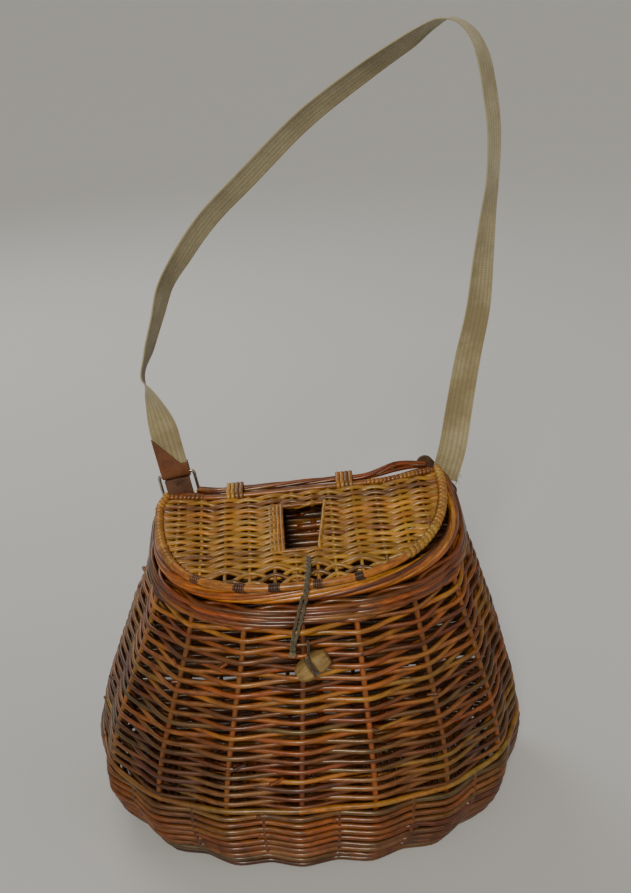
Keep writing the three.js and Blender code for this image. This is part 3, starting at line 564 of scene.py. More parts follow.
body_willow = willow("body_willow", 0.36, 0.45, inner=0.5, flank_shade=1.0)
stake_willow = willow("stake_willow", 0.34, 0.35, inner=0.5, flank_shade=0.8)
base_willow = willow("base_willow", 0.45, 0.45)
rim_willow = willow("rim_willow", 0.26, 0.25, flank_shade=0.5)
lid_willow = willow("lid_willow", 0.33, 0.30, stain=YELLOW_STAIN, redness=0.3)

# The front of a rod lies this far inside the wall's outer face
UPPER_FRONT = 2.4
UPPER_DEPTH = 3.3
UPPER_ROWS = 36
UPPER_RADIUS = 2.35
UPPER_SQUASH = 0.84
BACK_FLATTER = 2.2
BACK_THICKER = 0.45
LOWER_ROWS = 9
LOWER_RADIUS = 2.5
LOWER_MIDDLE = 3.5
LOWER_DEPTH = 3.0
LOWER_TOP = LOWER_WALE_HEIGHT / RIM_HEIGHT
TOP_WALE_BOTTOM = BORDER_BOTTOM - TOP_WALE_HEIGHT / RIM_HEIGHT
PER_STAKE = 12
STAKE_RADIUS = 2.55
STAKE_INSET = 5.4
STAKE_RISE = 1.3
STAKE_THICKER = 0.3
# How far a rod runs on past the stake where the next one starts, in stakes
UPPER_LAP = 0.35
LOWER_LAP = 0.1
UPPER_TUCK = 1.8
UPPER_FACET = 1.5
CUT_ENDS = 26
CUT_END_RADIUS = 1.6
BETWEEN_RADIUS = 1.9
BETWEEN_INSET = 5.9
BETWEEN_TUCK = 4.0
CLOSING_RADIUS = 2.5
CLOSING_INSET = 2.4
CLOSING_SWING = 0.9


def bent(stake, period):
    """A wave that turns over tightly at each stake and runs nearly straight between them."""
    angle = 2 * math.pi * stake / period
    straight = 2 / math.pi * np.arcsin(0.985 * np.cos(angle)) / (2 / math.pi * math.asin(0.985))
    return 0.55 * straight + 0.45 * np.cos(angle)


def facet(stake, depth):
    """How far the wall lies in between two stakes, like a flat between corners."""
    return depth * np.sin(math.pi * stake) ** 2


def behind(place):
    """From 0 round the front of the basket to 1 along its back."""
    return smooth(-np.cos(2 * math.pi * np.asarray(place)), 0.15, 0.6)


def lay(start, end, lap):
    """Samples of a rod laid from stake to stake: stakes, places and how far behind they are."""
    count = int((end - start) * PER_STAKE) + 1
    stake = np.linspace(start - lap, end + lap, count)
    place = stake / STAKES + STAKE_PHASE
    return stake, place, behind(place)


def upper_weave():
    """Rods woven in front of one stake and behind the next."""
    rng, rods = start_rods(11)
    levels = np.linspace(LOWER_TOP + 0.012, TOP_WALE_BOTTOM - 0.008, UPPER_ROWS)
    for row, level in enumerate(levels):
        level += rng.normal() * 0.0007
        joins = sorted(rng.choice(np.arange(1 + row % 2, STAKES, 2), 2, replace=False))
        for start, end in (joins, (joins[1], joins[0] + STAKES)):
            stake, place, back = lay(start, end, UPPER_LAP)
            count = len(stake)
            swing = (UPPER_DEPTH - BACK_FLATTER * back) * bent(stake + row + 1, 2)
            inset = UPPER_FRONT + UPPER_DEPTH + swing + facet(stake, UPPER_FACET) * (1 - back)
            inset = inset + wander(rng, count, 5, 0.18)
            overlap = np.minimum(stake - stake[0], stake[-1] - stake)
            inset = inset + UPPER_TUCK * (1 - smooth(overlap, 0, 0.8))
            points, out = wall_points(level, place, inset, wander(rng, count, 7, 0.35))
            taper = np.linspace(1.06, 0.88, count) * (1 + rng.normal() * 0.05)
            if rng.random() < 0.5:
                taper = taper[::-1]
            radius = UPPER_RADIUS * taper * (1 + BACK_THICKER * back)
            tint = tinted(rng, *BODY_TINTS)
            rods.rod(points, radius, tint, upright=out, squash=UPPER_SQUASH)
    # Cut ends that stand out beside a stake
    steps = 7
    for _ in range(CUT_ENDS):
        row = rng.integers(2, UPPER_ROWS - 2)
        stake = rng.integers(0, STAKES)
        at = stake + rng.uniform(-0.3, 0.3)
        reach = np.linspace(0, rng.uniform(0.09, 0.2) * rng.choice((-1, 1)), steps)
        inset = np.linspace(5.5, rng.uniform(-0.2, 1.0), steps)
        lift = np.linspace(0, rng.uniform(-2, 2), steps)
        place = (at + reach) / STAKES + STAKE_PHASE
        points, out = wall_points(levels[row] + 0.006, place, inset, lift)
        rods.rod(points, CUT_END_RADIUS, tinted(rng, *BODY_TINTS))
    return rods.build("upper_weave", body_willow)


def lower_levels():
    """Levels of the lower rows, evenly spaced along the wall's own curve."""
    fine = np.linspace(0.004, LOWER_TOP - 0.008, 60)
    along = run_along(wall_line(fine, 0.03, np.zeros(len(fine))))
    return np.interp(np.linspace(0, along[-1], LOWER_ROWS + 1)[:-1] + 1.5, along, fine)


def lower_weave():
    """Thick rods bent out round the stakes and held in by a rod between each two."""
    rng, rods = start_rods(23)
    for row, level in enumerate(lower_levels()):
        joins = sorted(rng.choice(np.arange(STAKES), 3, replace=False) + 0.5)
        joins.append(joins[0] + STAKES)
        for start, end in zip(joins[:-1], joins[1:]):
            stake, place, back = lay(start, end, LOWER_LAP)
            count = len(stake)
            inset = LOWER_MIDDLE - LOWER_DEPTH * (1 - 0.35 * back) * bent(stake, 1)
            inset = inset + wander(rng, count, 6, 0.2)
            points, out = wall_points(level, place, inset, wander(rng, count, 8, 0.45))
            points[:, 2] = np.maximum(points[:, 2], LOWER_RADIUS * (1.05 + BACK_THICKER * back))
            radius = LOWER_RADIUS * np.linspace(1.05, 0.92, count) * (1 + BACK_THICKER * back)
            rods.rod(points, radius, tinted(rng, *BODY_TINTS), upright=out)
    # Rods that stand between the stakes, over the rows
    for k in range(STAKES):
        place = (k + 0.5) / STAKES + STAKE_PHASE + rng.normal() * 0.0012
        levels = np.linspace(0.02, LOWER_TOP + 0.03, 16)
        insets = BETWEEN_INSET + BETWEEN_TUCK * smooth(levels, LOWER_TOP - 0.02, LOWER_TOP + 0.02)
        insets = insets + BETWEEN_TUCK * (1 - smooth(levels, 0.03, 0.07))
        line = wall_line(levels, place, insets)
        _, out = wall_points(0.15, place, 0)
        rods.rod(line, BETWEEN_RADIUS, tinted(rng, (ORANGE, BROWN), (2, 3)), upright=out)
    # The pale rod that closes the lower rows
    for start, end, tint in ((0.0, 7.2, YELLOW), (7.2, 12.4, TAN), (12.4, 16.0, GOLD)):
        count = int((end - start) * PER_STAKE)
        stake = np.linspace(start - LOWER_LAP, end + LOWER_LAP, count)
        inset = CLOSING_INSET - CLOSING_SWING * np.cos(2 * math.pi * stake)
        inset = inset + wander(rng, count, 4, 0.15)
        points, out = wall_points(LOWER_TOP + 0.002, stake / STAKES + STAKE_PHASE, inset)
        rods.rod(points, CLOSING_RADIUS, np.array(tint) * 0.9, upright=out)
    return rods.build("lower_weave", body_willow)


def stake_rods():
    rng, rods = start_rods(37)
    levels = np.linspace(0.03, BORDER_BOTTOM - 0.003, 22)
    taper = np.linspace(1.05, 0.9, len(levels))
    for k in range(STAKES):
        lean = rng.normal() * 0.0016
        place = k / STAKES + STAKE_PHASE
        back = float(behind(place))
        rise = STAKE_RISE * (1 - back)
        insets = STAKE_INSET - rise * smooth(levels, LOWER_TOP - 0.03, LOWER_TOP + 0.04)
        line = wall_line(levels, place + lean * levels, insets)
        _, out = wall_points(0.5, place, 0)
        radius = STAKE_RADIUS * (1 + STAKE_THICKER * back) * taper
        tint = tinted(rng, (ORANGE, RED, GOLD), (4, 2, 1))
        rods.rod(line, radius, tint, upright=out, sides=10)
    return rods.build("stakes", stake_willow)


TOP_ROD_RADIUS = 2.15
TOP_FRONT = 2.5
TOP_DEPTH = 7.6
TOP_RISE = 1.5
RIM_STRANDS = 22
RIM_REACH = 5.2 / STAKES
RIM_ROD_RADIUS = 2.75
# A strand rolls over the border, seen end on, from one angle through another
RIM_START = -125
RIM_ROLL = 290
RIM_HALF_WIDTH = 2.9
RIM_HALF_HEIGHT = 4.3
RIM_BRIGHTER = 1.3


def top_weave():
    """Three rows of waling: each rod passes two stakes and goes behind the third."""
    rng, rods = start_rods(41)
    rows = 3
    height = BORDER_BOTTOM - TOP_WALE_BOTTOM
    count = STAKES * PER_STAKE
    stake = np.linspace(0, STAKES, count) + 8.3
    for row in range(rows):
        level = TOP_WALE_BOTTOM + height * (row + 0.45) / rows
        for strand in range(3):
            turn = np.mod(stake - strand - row, 3) - 1.5
            hidden = np.exp(-((turn / 0.42) ** 2))
            inset = TOP_FRONT + TOP_DEPTH * hidden + wander(rng, count, 5, 0.15)
            lift = TOP_RISE * np.sin(2 * math.pi * turn / 3) + wander(rng, count, 5, 0.2)
            points, out = wall_points(level, stake / STAKES + STAKE_PHASE, inset, lift)
            tint = tinted(rng, (BROWN, ORANGE, TAN, PURPLE), (3, 3, 2, 2))
            rods.rod(points, TOP_ROD_RADIUS, tint, upright=out)
    return rods.build("top_weave", rim_willow)


def rim_strands():
    """The rolled border: strands that rise from the outside, cross the top and tuck in."""
    rng, rods = start_rods(53)
    count = 80
    t = np.linspace(0, 1, count)
    angle = np.radians(RIM_START + RIM_ROLL * t)
    for k in range(RIM_STRANDS):
        start = (k + rng.uniform(-0.2, 0.2)) / RIM_STRANDS
        inset = BORDER_WIDTH / 2 - RIM_HALF_WIDTH * np.cos(angle)
        lift = -BORDER_HEIGHT / 2 + RIM_HALF_HEIGHT * np.sin(angle) + wander(rng, count, 3, 0.15)
        points, out = wall_points(1, start + RIM_REACH * t, inset, lift)
        radius = RIM_ROD_RADIUS * (1 - 0.35 * t) * smooth(t, -0.04, 0.03)
        tint = tinted(rng, (ORANGE, RED, GOLD, BROWN, PURPLE), (5, 4, 3, 2, 1)) * RIM_BRIGHTER
        rods.rod(points, radius, tint, upright=TOP + out * 0.02, sides=10)
    return rods.build("rim_strands", rim_willow)


BACK_LINE = (
    (0.345, 0.00, 0.00),
    (0.366, 0.20, 0.26),
    (0.388, 0.44, 0.42),
    (0.406, 0.20, 0.22),
    (0.422, 0.00, 0.00),
    (0.460, 0.00, 0.00),
    (0.500, 0.00, 0.00),
    (0.560, 0.00, 0.00),
    (0.605, 0.00, 0.00),
    (0.630, 0.00, 0.00),
)
BORDER_PEAK = 9
BACK_ROD_TINTS = (RED, ORANGE, BROWN, ORANGE)
BACK_TURNS = 1.7
BACK_LIFT = 3.1
BACK_HALF_DEPTH = 1.7
BACK_HALF_HEIGHT = 1.2
BACK_STRAND_RADIUS = 1.6
FILLER_SHARE = 0.4
FILLER_LIFT = 1.9
FILLER_RADIUS = 1.9


def back_line(rows, share, lift, steps):
    """The back border's line, with its peak at a share of its height."""
    points = []
    for place, rise, lean in rows:
        inset = BORDER_WIDTH / 2 - lean * share * BORDER_PEAK
        points.append(wall_point(1, place, inset, lift + rise * share * BORDER_PEAK))
    return spline(points, steps)


def back_border():
    """Rods laid round each other along the back of the rim."""
    rng = np.random.default_rng(59)
    line = back_line(BACK_LINE, 1, BACK_LIFT, 150)
    aside, lift = frame_along(line)
    rods = Rods()
    for k, tint in enumerate(BACK_ROD_TINTS):
        turn = np.linspace(0, 2 * math.pi * BACK_TURNS, len(line)) + k * math.pi / 2
        offset = BACK_HALF_DEPTH * np.cos(turn)[:, None] * aside
        offset = offset + BACK_HALF_HEIGHT * np.sin(turn)[:, None] * lift
        radius = BACK_STRAND_RADIUS * (1 + wander(rng, len(line), 4, 0.04))
        radius = radius * smooth(np.arange(len(line)), -12, 6)
        rods.rod(line + offset, radius, np.array(tint) * rng.uniform(0.8, 1.1), sides=10)
    # A lower rod fills the raised corner
    filler = back_line(BACK_LINE[:6], FILLER_SHARE, FILLER_LIFT, 60)
    rods.rod(filler, FILLER_RADIUS, BROWN, sides=10)
    return rods.build("back_border_rods", rim_willow)


BASE_RINGS = 12
BASE_MIDDLE = 4.3
BASE_SWING = 1.4
BASE_ROD_RADIUS = 2.5
SPOKES = 32
SPOKE_RADIUS = 1.9


def base_weave():
    """The underside: rings woven over sticks that run out from the middle."""
    rng, rods = start_rods(61)
    at, out = plan_points(0.0, np.linspace(0, 1, 241)[:-1])
    centre = at.mean(axis=0)
    edge = at - out * 6 - centre
    for ring in range(BASE_RINGS):
        share = 0.955 - 0.90 * ring / BASE_RINGS
        spokes = SPOKES if ring < 8 else SPOKES / 2
        wave = np.cos(np.arange(len(edge)) / len(edge) * spokes * math.pi + ring * math.pi)
        for size, side in ((share, 1), (share - 0.037, -1)):
            points = np.column_stack((centre + edge * size, BASE_MIDDLE + side * BASE_SWING * wave))
            tint = tinted(rng, *BODY_TINTS)
            rods.rod(points, BASE_ROD_RADIUS, tint, closed=True, sides=7)
    for k in range(SPOKES):
        place = (k / SPOKES + STAKE_PHASE) % 1
        tip = at[int(place * len(at)) % len(at)] * 0.96
        start = centre + (tip - centre) * (0.05 if k % 2 == 0 else 0.3)
        points = np.column_stack((np.linspace(start, tip, 5), np.full(5, BASE_MIDDLE)))
        rods.rod(points, SPOKE_RADIUS, tinted(rng, (ORANGE, BROWN), (1, 1)), sides=7)
    return rods.build("base_weave", base_willow)


# Lid
LID_PLACE = (
    Matrix.Translation((0, HINGE_Y, rim_plane(0, HINGE_Y) + LID_LIFT))
    @ Matrix.Rotation(-RIM_TILT, 4, "Y")
    @ Matrix.Rotation(RIM_SLOPE, 4, "X")
)


def lid_edge(angle, inset):
    s, c = np.sin(angle), np.cos(angle)
    power = np.where(s > 0, LID_ROUNDNESS_RIGHT, LID_ROUNDNESS_LEFT)
    total = np.abs(s / (LID_HALF_WIDTH - inset)) ** power + np.abs(c / (LID_REACH - inset)) ** power
    radius = total ** (-1 / power)
    return np.stack((radius * s, -radius * c), axis=-1)


def lid_back(x):
    straight = LID_BACK_STRAIGHT * LID_HALF_WIDTH
    return LID_CORNER_SETBACK * smooth(np.abs(x), straight, LID_HALF_WIDTH)


def lid_bow_line(steps):
    angle = np.linspace(-0.5, 0.5, 61) * math.pi * LID_SWEEP
    edge = lid_edge(angle, BOW_RADIUS)
    back = LID_CORNER_SETBACK + BACK_ROD_RADIUS
    line = np.vstack(((CORNER_LEFT, back), edge, (CORNER_RIGHT, back)))
    return spline(np.column_stack((line, np.zeros(len(line)))), steps)


def lid_width(y, inset, side):
    """The lid's half width at y, measured to the bow's inner side."""
    power = LID_ROUNDNESS_RIGHT if side > 0 else LID_ROUNDNESS_LEFT
    share = min(max(-y, 0) / (LID_REACH - inset), 0.9999)
    half = (LID_HALF_WIDTH - inset) * (1 - share**power) ** (1 / power)
    corner = (CORNER_RIGHT if side > 0 else -CORNER_LEFT) - inset + BOW_RADIUS
    return min(half, corner + max(-y, 0) * 0.6)


RIB_SHARES = (-0.84, -0.68, -0.52, -0.36, -0.20, 0.19, 0.35, 0.51, 0.67, 0.82)
LID_RIBS = tuple(share * LID_HALF_WIDTH for share in RIB_SHARES)
MIDDLE_RIBS = (-8.0, 9.0)
STRAW = (0.370, 0.205, 0.028)
HONEY = (0.430, 0.260, 0.040)
LID_TINTS = ((STRAW, HONEY, GOLD, TAN), (5, 3.5, 1.8, 1.0))
LID_ROWS = 25
LID_ROD_RADIUS = 2.3
LID_WAVE = 1.9
LID_SWAY = 1.1
LID_MIDDLE = -0.9
RIB_SPACING = 20.3
OPEN_DEPTH = 20
OPEN_ROWS = 4
OPEN_SWING = 3.0
SLOT_FRONT = SLOT_SETBACK + SLOT_LENGTH


def slot_side(y, side):
    """The slot's left or right edge at y."""
    t = np.clip((-y - SLOT_SETBACK) / SLOT_LENGTH, 0, 1)
    half = SLOT_BACK_WIDTH / 2 * (1 - t) + SLOT_FRONT_WIDTH / 2 * t
    return SLOT_CENTRE - SLOT_SKEW * t + side * half


def rib_number(x, ribs):
    """Which rib a place is at, counted on past the outer ribs."""
    number = np.interp(x, ribs, np.arange(len(ribs)))
    number = np.where(x < ribs[0], (x - ribs[0]) / RIB_SPACING, number)
    return np.where(x > ribs[-1], len(ribs) - 1 + (x - ribs[-1]) / RIB_SPACING, number)


LID_INNER = 2 * BOW_RADIUS
# Rows end a little under the bow, and beside the slot's frame
ROW_END = LID_INNER - 0.5
SLOT_GAP = 1.6
ROW_SQUASH = 0.78
RIB_RADIUS = 1.6
OPEN_ROD_RADIUS = 1.75


def lid_weave():
    """Close rows over the ribs, and a few loose zigzag rows along the front."""
    rng, rods = start_rods(71)
    front = LID_REACH - LID_INNER - 1.5
    ribs = sorted(LID_RIBS + MIDDLE_RIBS)
    for row, depth in enumerate(np.linspace(BACK_ROD_RADIUS + 2.2, front - OPEN_DEPTH, LID_ROWS)):
        y = -depth
        left = -lid_width(y, ROW_END, -1)
        right = lid_width(y, ROW_END, 1)
        spans = [(left, right)]
        if SLOT_SETBACK - 1 < depth < SLOT_FRONT + 1:
            spans = [(left, slot_side(y, -1) - SLOT_GAP), (slot_side(y, 1) + SLOT_GAP, right)]
        for low, high in spans:
            count = max(int((high - low) / 1.5), 8)
            x = np.linspace(low, high, count)
            number = rib_number(x, ribs)
            edge = smooth(np.minimum(x - left, right - x), 0, 14)
            z = LID_MIDDLE + LID_WAVE * np.cos(math.pi * (number + row)) * (0.45 + 0.55 * edge)
            sway = LID_SWAY * edge * np.sin(math.pi * (number - 0.35) + 0.09 * row)
            line_y = y + lid_back(x) * (1 - depth / front) + sway + wander(rng, count, 4, 0.25)
            radius = LID_ROD_RADIUS * (1 + rng.normal() * 0.06)
            tint = tinted(rng, *LID_TINTS)
            rods.rod(np.column_stack((x, line_y, z)), radius, tint, squash=ROW_SQUASH)
    for row, depth in enumerate(np.linspace(front - OPEN_DEPTH + 4.5, front - 1.5, OPEN_ROWS)):
        left = -lid_width(-depth, ROW_END, -1)
        right = lid_width(-depth, ROW_END, 1)
        count = int((right - left) / 1.2)
        x = np.linspace(left, right, count)
        wave = np.cos(math.pi * (rib_number(x, ribs) + row))
        edge = smooth(np.minimum(x - left, right - x), 0, 16)
        line_y = -depth + OPEN_SWING * edge * wave + wander(rng, count, 6, 0.5)
        tint = tinted(rng, *LID_TINTS) * 0.85
        line = np.column_stack((x, line_y, LID_MIDDLE + 1.3 * wave))
        rods.rod(line, OPEN_ROD_RADIUS, tint)
    return rods.build("lid_weave", lid_willow, LID_PLACE)


def lid_ribs():
    rng, rods = start_rods(73)
    steps = 30
    for x in LID_RIBS:
        angle = math.asin(x / LID_HALF_WIDTH)
        y = np.linspace(lid_back(x) - 1, lid_edge(np.array(angle), LID_INNER)[1], steps)
        line = np.column_stack((x + wander(rng, steps, 2, 0.5), y, np.full(steps, LID_MIDDLE)))
        rods.rod(line, RIB_RADIUS, tinted(rng, *LID_TINTS))
    for x in MIDDLE_RIBS:
        for start, end in ((-1, -SLOT_SETBACK), (-SLOT_FRONT, -(LID_REACH - LID_INNER))):
            y = np.linspace(start, end, 8)
            line = np.column_stack((np.full(8, x), y, np.full(8, LID_MIDDLE)))
            rods.rod(line, RIB_RADIUS, tinted(rng, *LID_TINTS))
    return rods.build("lid_ribs", lid_willow, LID_PLACE)


STRIP_OVERLAP = 0.52
STRIP_SQUASH = 0.42


def wound(rods, rng, line, start, end, radius, width, palette, weights):
    """A flat strip wound turn against turn round part of a rod."""
    turns = max(int(round((end - start) / width)), 2)
    per_turn = 14
    middle = stretch(line, start, end, turns * per_turn + 1)
    aside, lift = frame_along(middle)
    angle = np.linspace(0, turns * 2 * math.pi, len(middle)) + wander(rng, len(middle), 9, 0.12)
    radial = np.cos(angle)[:, None] * aside + np.sin(angle)[:, None] * lift
    path = middle + radius * radial
    piece = 4 * per_turn
    half = width * STRIP_OVERLAP
    for first in range(0, turns * per_turn, piece):
        last = min(first + piece + 1, len(path))
        if last - first < 4:
            continue
        tint = tinted(rng, palette, weights)
        rods.rod(path[first:last], half, tint, upright=radial[first:last], squash=STRIP_SQUASH)


BOW_BINDINGS = (
    (-89, 8, 2.0, ORANGE),
    (-54, 9, 1.8, RED),
    (-26, 9, 1.5, PURPLE),
    (9, 7, 1.8, BROWN),
    (41, 7, 1.5, PURPLE),
)
BINDING_DARKER = 0.55
BOW_ROD_RADIUS = 3.25
BOW_WINDING = 2.95
BINDING_RADIUS = 3.5
BOW_TINT = (0.42, 0.165, 0.020)
WOUND_TINTS = ((STRAW, HONEY, GOLD), (4, 2, 2))


def lid_frame_rods():
    """The bow with its bindings and the wound stretches at both ends."""
    rng, rods = start_rods(79)
    line = lid_bow_line(260)
    run = run_along(line)
    total = run[-1]
    rods.rod(line, BOW_ROD_RADIUS * (1 + wander(rng, len(line), 5, 0.02)), BOW_TINT, sides=12)
    for start, end, width in ((1, total * 0.23, 4.6), (total * 0.71, total - 1, 5.3)):
        wound(rods, rng, line, start, end, BOW_WINDING, width, *WOUND_TINTS)
    # Bindings where the lid's rods are tied to the bow
    for x, width, strip, tint in BOW_BINDINGS:
        middle = run[int(np.argmin(np.abs(line[:, 0] - x) + (line[:, 1] > -20) * 999))]
        ends = (middle - width / 2, middle + width / 2)
        wound(rods, rng, line, *ends, BINDING_RADIUS, strip, (np.array(tint) * BINDING_DARKER,), (1,))
    return rods.build("lid_bow_rod", lid_willow, LID_PLACE)


def lid_back_rod():
    rng, rods = start_rods(83)
    radius = 2.5
    x = np.linspace(CORNER_LEFT + 4, CORNER_RIGHT - 4, 200)
    line = np.column_stack((x, lid_back(x), np.zeros(len(x))))
    rods.rod(line, radius + wander(rng, len(x), 4, 0.05), ORANGE, sides=10)
    length = CORNER_RIGHT - CORNER_LEFT - 8
    wound(rods, rng, line, length * 0.75, length, radius, 3.6, (GOLD, ORANGE), (2, 1))
    wound(rods, rng, line, 0, length * 0.13, radius, 3.6, (ORANGE, GOLD), (2, 1))
    return rods.build("lid_back_rods", lid_willow, LID_PLACE)


SLOT_ROD_RADIUS = 1.75
SLOT_END_RADIUS = 1.8
SLOT_RODS = ((-1, (1.9, 5.1, 8.3, 11.4)), (1, (1.9,)))


def slot_frame():
    """Four rods at the slot's left, one at its right, and one across each end."""
    rng, rods = start_rods(89)
    y = np.linspace(-SLOT_SETBACK + 3, -SLOT_FRONT - 3, 60)
    for side, offsets in SLOT_RODS:
        for k, offset in enumerate(offsets):
            x = slot_side(y, side) + side * offset
            z = np.full(len(y), 0.9 - 0.2 * k)
            line = np.column_stack((x + wander(rng, len(y), 2, 0.15), y, z))
            rods.rod(line, SLOT_ROD_RADIUS, tinted(rng, (YELLOW, GOLD), (1, 1)), sides=10)
    for depth in (SLOT_SETBACK - SLOT_GAP, SLOT_FRONT + SLOT_END_RADIUS):
        x = np.linspace(slot_side(-depth, -1) - 12, slot_side(-depth, 1) + 3, 30)
        line = np.column_stack((x, np.full(30, -depth), np.full(30, 0.4)))
        rods.rod(line, SLOT_END_RADIUS, tinted(rng, (ORANGE, GOLD), (1, 1)), sides=10)
    return rods.build("slot_frame", lid_willow, LID_PLACE)


def loop_section(radius_a, centre_a, radius_b, centre_b, steps):
    """The outline of a belt round two circles."""
    across = centre_b - centre_a
    heading = math.atan2(across[1], across[0])
    lean = math.asin((radius_a - radius_b) / np.linalg.norm(across))
    first = math.pi / 2 - lean
    far = heading + first + (2 * math.pi - 2 * first) * np.linspace(0, 1, steps)
    near = heading - first + 2 * first * np.linspace(0, 1, steps)
    ring_a = centre_a + radius_a * np.stack((np.cos(far), np.sin(far)), axis=1)
    ring_b = centre_b + radius_b * np.stack((np.cos(near), np.sin(near)), axis=1)
    return np.vstack((ring_a, ring_b))


LOOP_WIDTH = 15
LOOP_TURNS = 4
LOOP_SHARES = (-0.45, 0.31)
LOOP_RADIUS_ROD = 4.35
LOOP_RADIUS_BORDER = 4.85
LOOP_BORDER_LIFT = 4.1
# Roughly the length of the mouth's outline
MOUTH_LENGTH = 800


def hinge_wraps():
    """Flat cane wound side by side round the back rod and the border."""
    rng, rods = start_rods(97)
    inverse = LID_PLACE.inverted()
    width = LOOP_WIDTH / LOOP_TURNS
    for share in LOOP_SHARES:
        x = share * LID_HALF_WIDTH
        # The border's place with this x, found in small steps
        place = 0.5
        for _ in range(60):
            at, _ = plan_points(1, np.array((place,)))
            place += (at[0, 0] - x) / MOUTH_LENGTH
        local = inverse @ Vector(wall_point(1, place, BORDER_WIDTH / 2, LOOP_BORDER_LIFT))
        border = np.array((local.y, local.z))
        outline = loop_section(LOOP_RADIUS_ROD, np.zeros(2), LOOP_RADIUS_BORDER, border, 18)
        slant = np.linspace(-0.4, 0.4, len(outline))
        for k in range(LOOP_TURNS):
            middle = x - LOOP_WIDTH / 2 + width * (k + 0.5)
            line = np.column_stack((middle + slant, outline))
            outward = line - np.array((middle, *outline.mean(axis=0)))
            outward[:, 0] = 0
            out = unit(outward)
            tint = tinted(rng, (GOLD, YELLOW, TAN), (3, 1, 1))
            rods.rod(line, width * 0.49, tint, upright=out, closed=True, squash=0.36, sides=10)
    return rods.build("hinge_wraps", lid_willow, LID_PLACE)


# Latch cord
STRAND_RADIUS = 1.18
STRAND_APART = 1.25
STRAND_LAY = 9
EYE_HALF_WIDTH = 1.75
EYE_OPENS = (38, 44)
EYE_SHUTS = (76, 82)
KNOT_SIZE = 3.2


def latch_cord():
    """Two strands laid round each other, opening into an eye in the middle of the hanging part."""
    rods = Rods()
    front = (0.0, -1.0, 0.3)
    line = spline(CORD_ROUTE, 220)
    run = np.linspace(0, CORD_LENGTH, len(line))
    aside, lift = frame_along(line, front)
    eye = (smooth(run, *EYE_OPENS) * (1 - smooth(run, *EYE_SHUTS)))[:, None]
    for strand in (0, 1):
        turn = run / STRAND_LAY * 2 * math.pi + strand * math.pi
        twist = STRAND_APART * (np.cos(turn)[:, None] * aside + np.sin(turn)[:, None] * lift)
        side = EYE_HALF_WIDTH * (1 - 2 * strand) * aside
        offset = twist * (1 - eye) + (side + 0.25 * twist) * eye
        rods.rod(line + offset, STRAND_RADIUS, upright=front)
    return rods.build("cord_strands", cord_fibre), line


def small_knot(centre, size, heading):
    """A cord wound over itself in a ball."""
    rods = Rods()
    t = np.linspace(0, 2 * math.pi, 120, endpoint=False)
    ring = 1 + 0.42 * np.cos(3 * t)
    line = np.column_stack((ring * np.cos(2 * t), ring * np.sin(2 * t), 0.62 * np.sin(3 * t)))
    turn = np.array(Vector(heading).to_track_quat("Z", "Y").to_matrix())
    rods.rod((line * size * 0.5) @ turn.T + np.array(centre), size * 0.34, closed=True)
    return rods.build("latch_knot_cord", knot_fibre)


cord_fibre = twine("cord_fibre", (0.120, 0.095, 0.050), (0.026, 0.020, 0.011), 900)
knot_fibre = twine("knot_fibre", (0.230, 0.170, 0.065), (0.070, 0.048, 0.018), 900)
dark_fibre = twine("dark_fibre", (0.070, 0.044, 0.020), (0.018, 0.011, 0.006), 900)
cord_piece, cord_line = latch_cord()
place_piece(cord_piece, "lid", "cord_olive", "latch_cord")
cord_end = np.array(CORD_ROUTE[-1])
cord_heading = unit(cord_end - np.array(CORD_ROUTE[-2]))
knot_piece = small_knot(cord_end + cord_heading * 3.4, KNOT_SIZE, cord_heading)
place_piece(knot_piece, "lid", "cord_olive", "latch_knot")

place_piece(upper_weave(), "basket", "willow_brown", "side_wall")
place_piece(lower_weave(), "basket", "willow_brown", "lower_wale")
place_piece(stake_rods(), "basket", "willow_red", *[f"stake_{k + 1}" for k in range(STAKES)])
place_piece(top_weave(), "basket", "willow_red", "top_wale")
place_piece(rim_strands(), "basket", "willow_red", "rim_border")
place_piece(back_border(), "basket", "willow_red", "back_border")
place_piece(base_weave(), "basket", "willow_brown", "base")
place_piece(lid_weave(), "lid", "willow_gold", "lid_panel")
place_piece(lid_ribs(), "lid", "willow_gold", *[f"lid_rib_{k + 1}" for k in range(len(LID_RIBS))])
place_piece(lid_frame_rods(), "lid", "willow_gold", "lid_bow")
place_piece(lid_back_rod(), "lid", "willow_gold", "lid_back_rod")
place_piece(slot_frame(), "lid", "willow_gold")
place_piece(hinge_wraps(), "lid", "willow_gold", "hinge_loop_left", "hinge_loop_right")

# Toggle
TOGGLE_LENGTH = 32
TOGGLE_RADIUS = 10
GROOVE_RADIUS = 6.2
TIE_RADIUS = 1.6
TOGGLE_STANDOFF = 0.8
TOGGLE_LEVEL = 0.79
TOGGLE_PLACE = -0.002
TOGGLE_TURN = math.radians(33)
SPOOL_LENGTH = TOGGLE_LENGTH * 0.93
SPOOL_RADIUS = TOGGLE_RADIUS * 0.94
TIE_CORD_RADIUS = 1.15
TIE_END_RADIUS = 1.1
TOGGLE_PROFILE = (
    (-0.480, 0.20), (-0.480, 0.50), (-0.472, 0.55), (-0.440, 0.66), (-0.300, 0.88), (-0.160, 0.99),
    (-0.110, 0.98), (-0.085, 0.90), (-0.068, 0.66), (-0.060, 0.60), (0.060, 0.60), (0.068, 0.66),
    (0.085, 0.90), (0.110, 0.98), (0.160, 0.99), (0.310, 0.90), (0.440, 0.68), (0.472, 0.57),
    (0.480, 0.52), (0.480, 0.20),
)


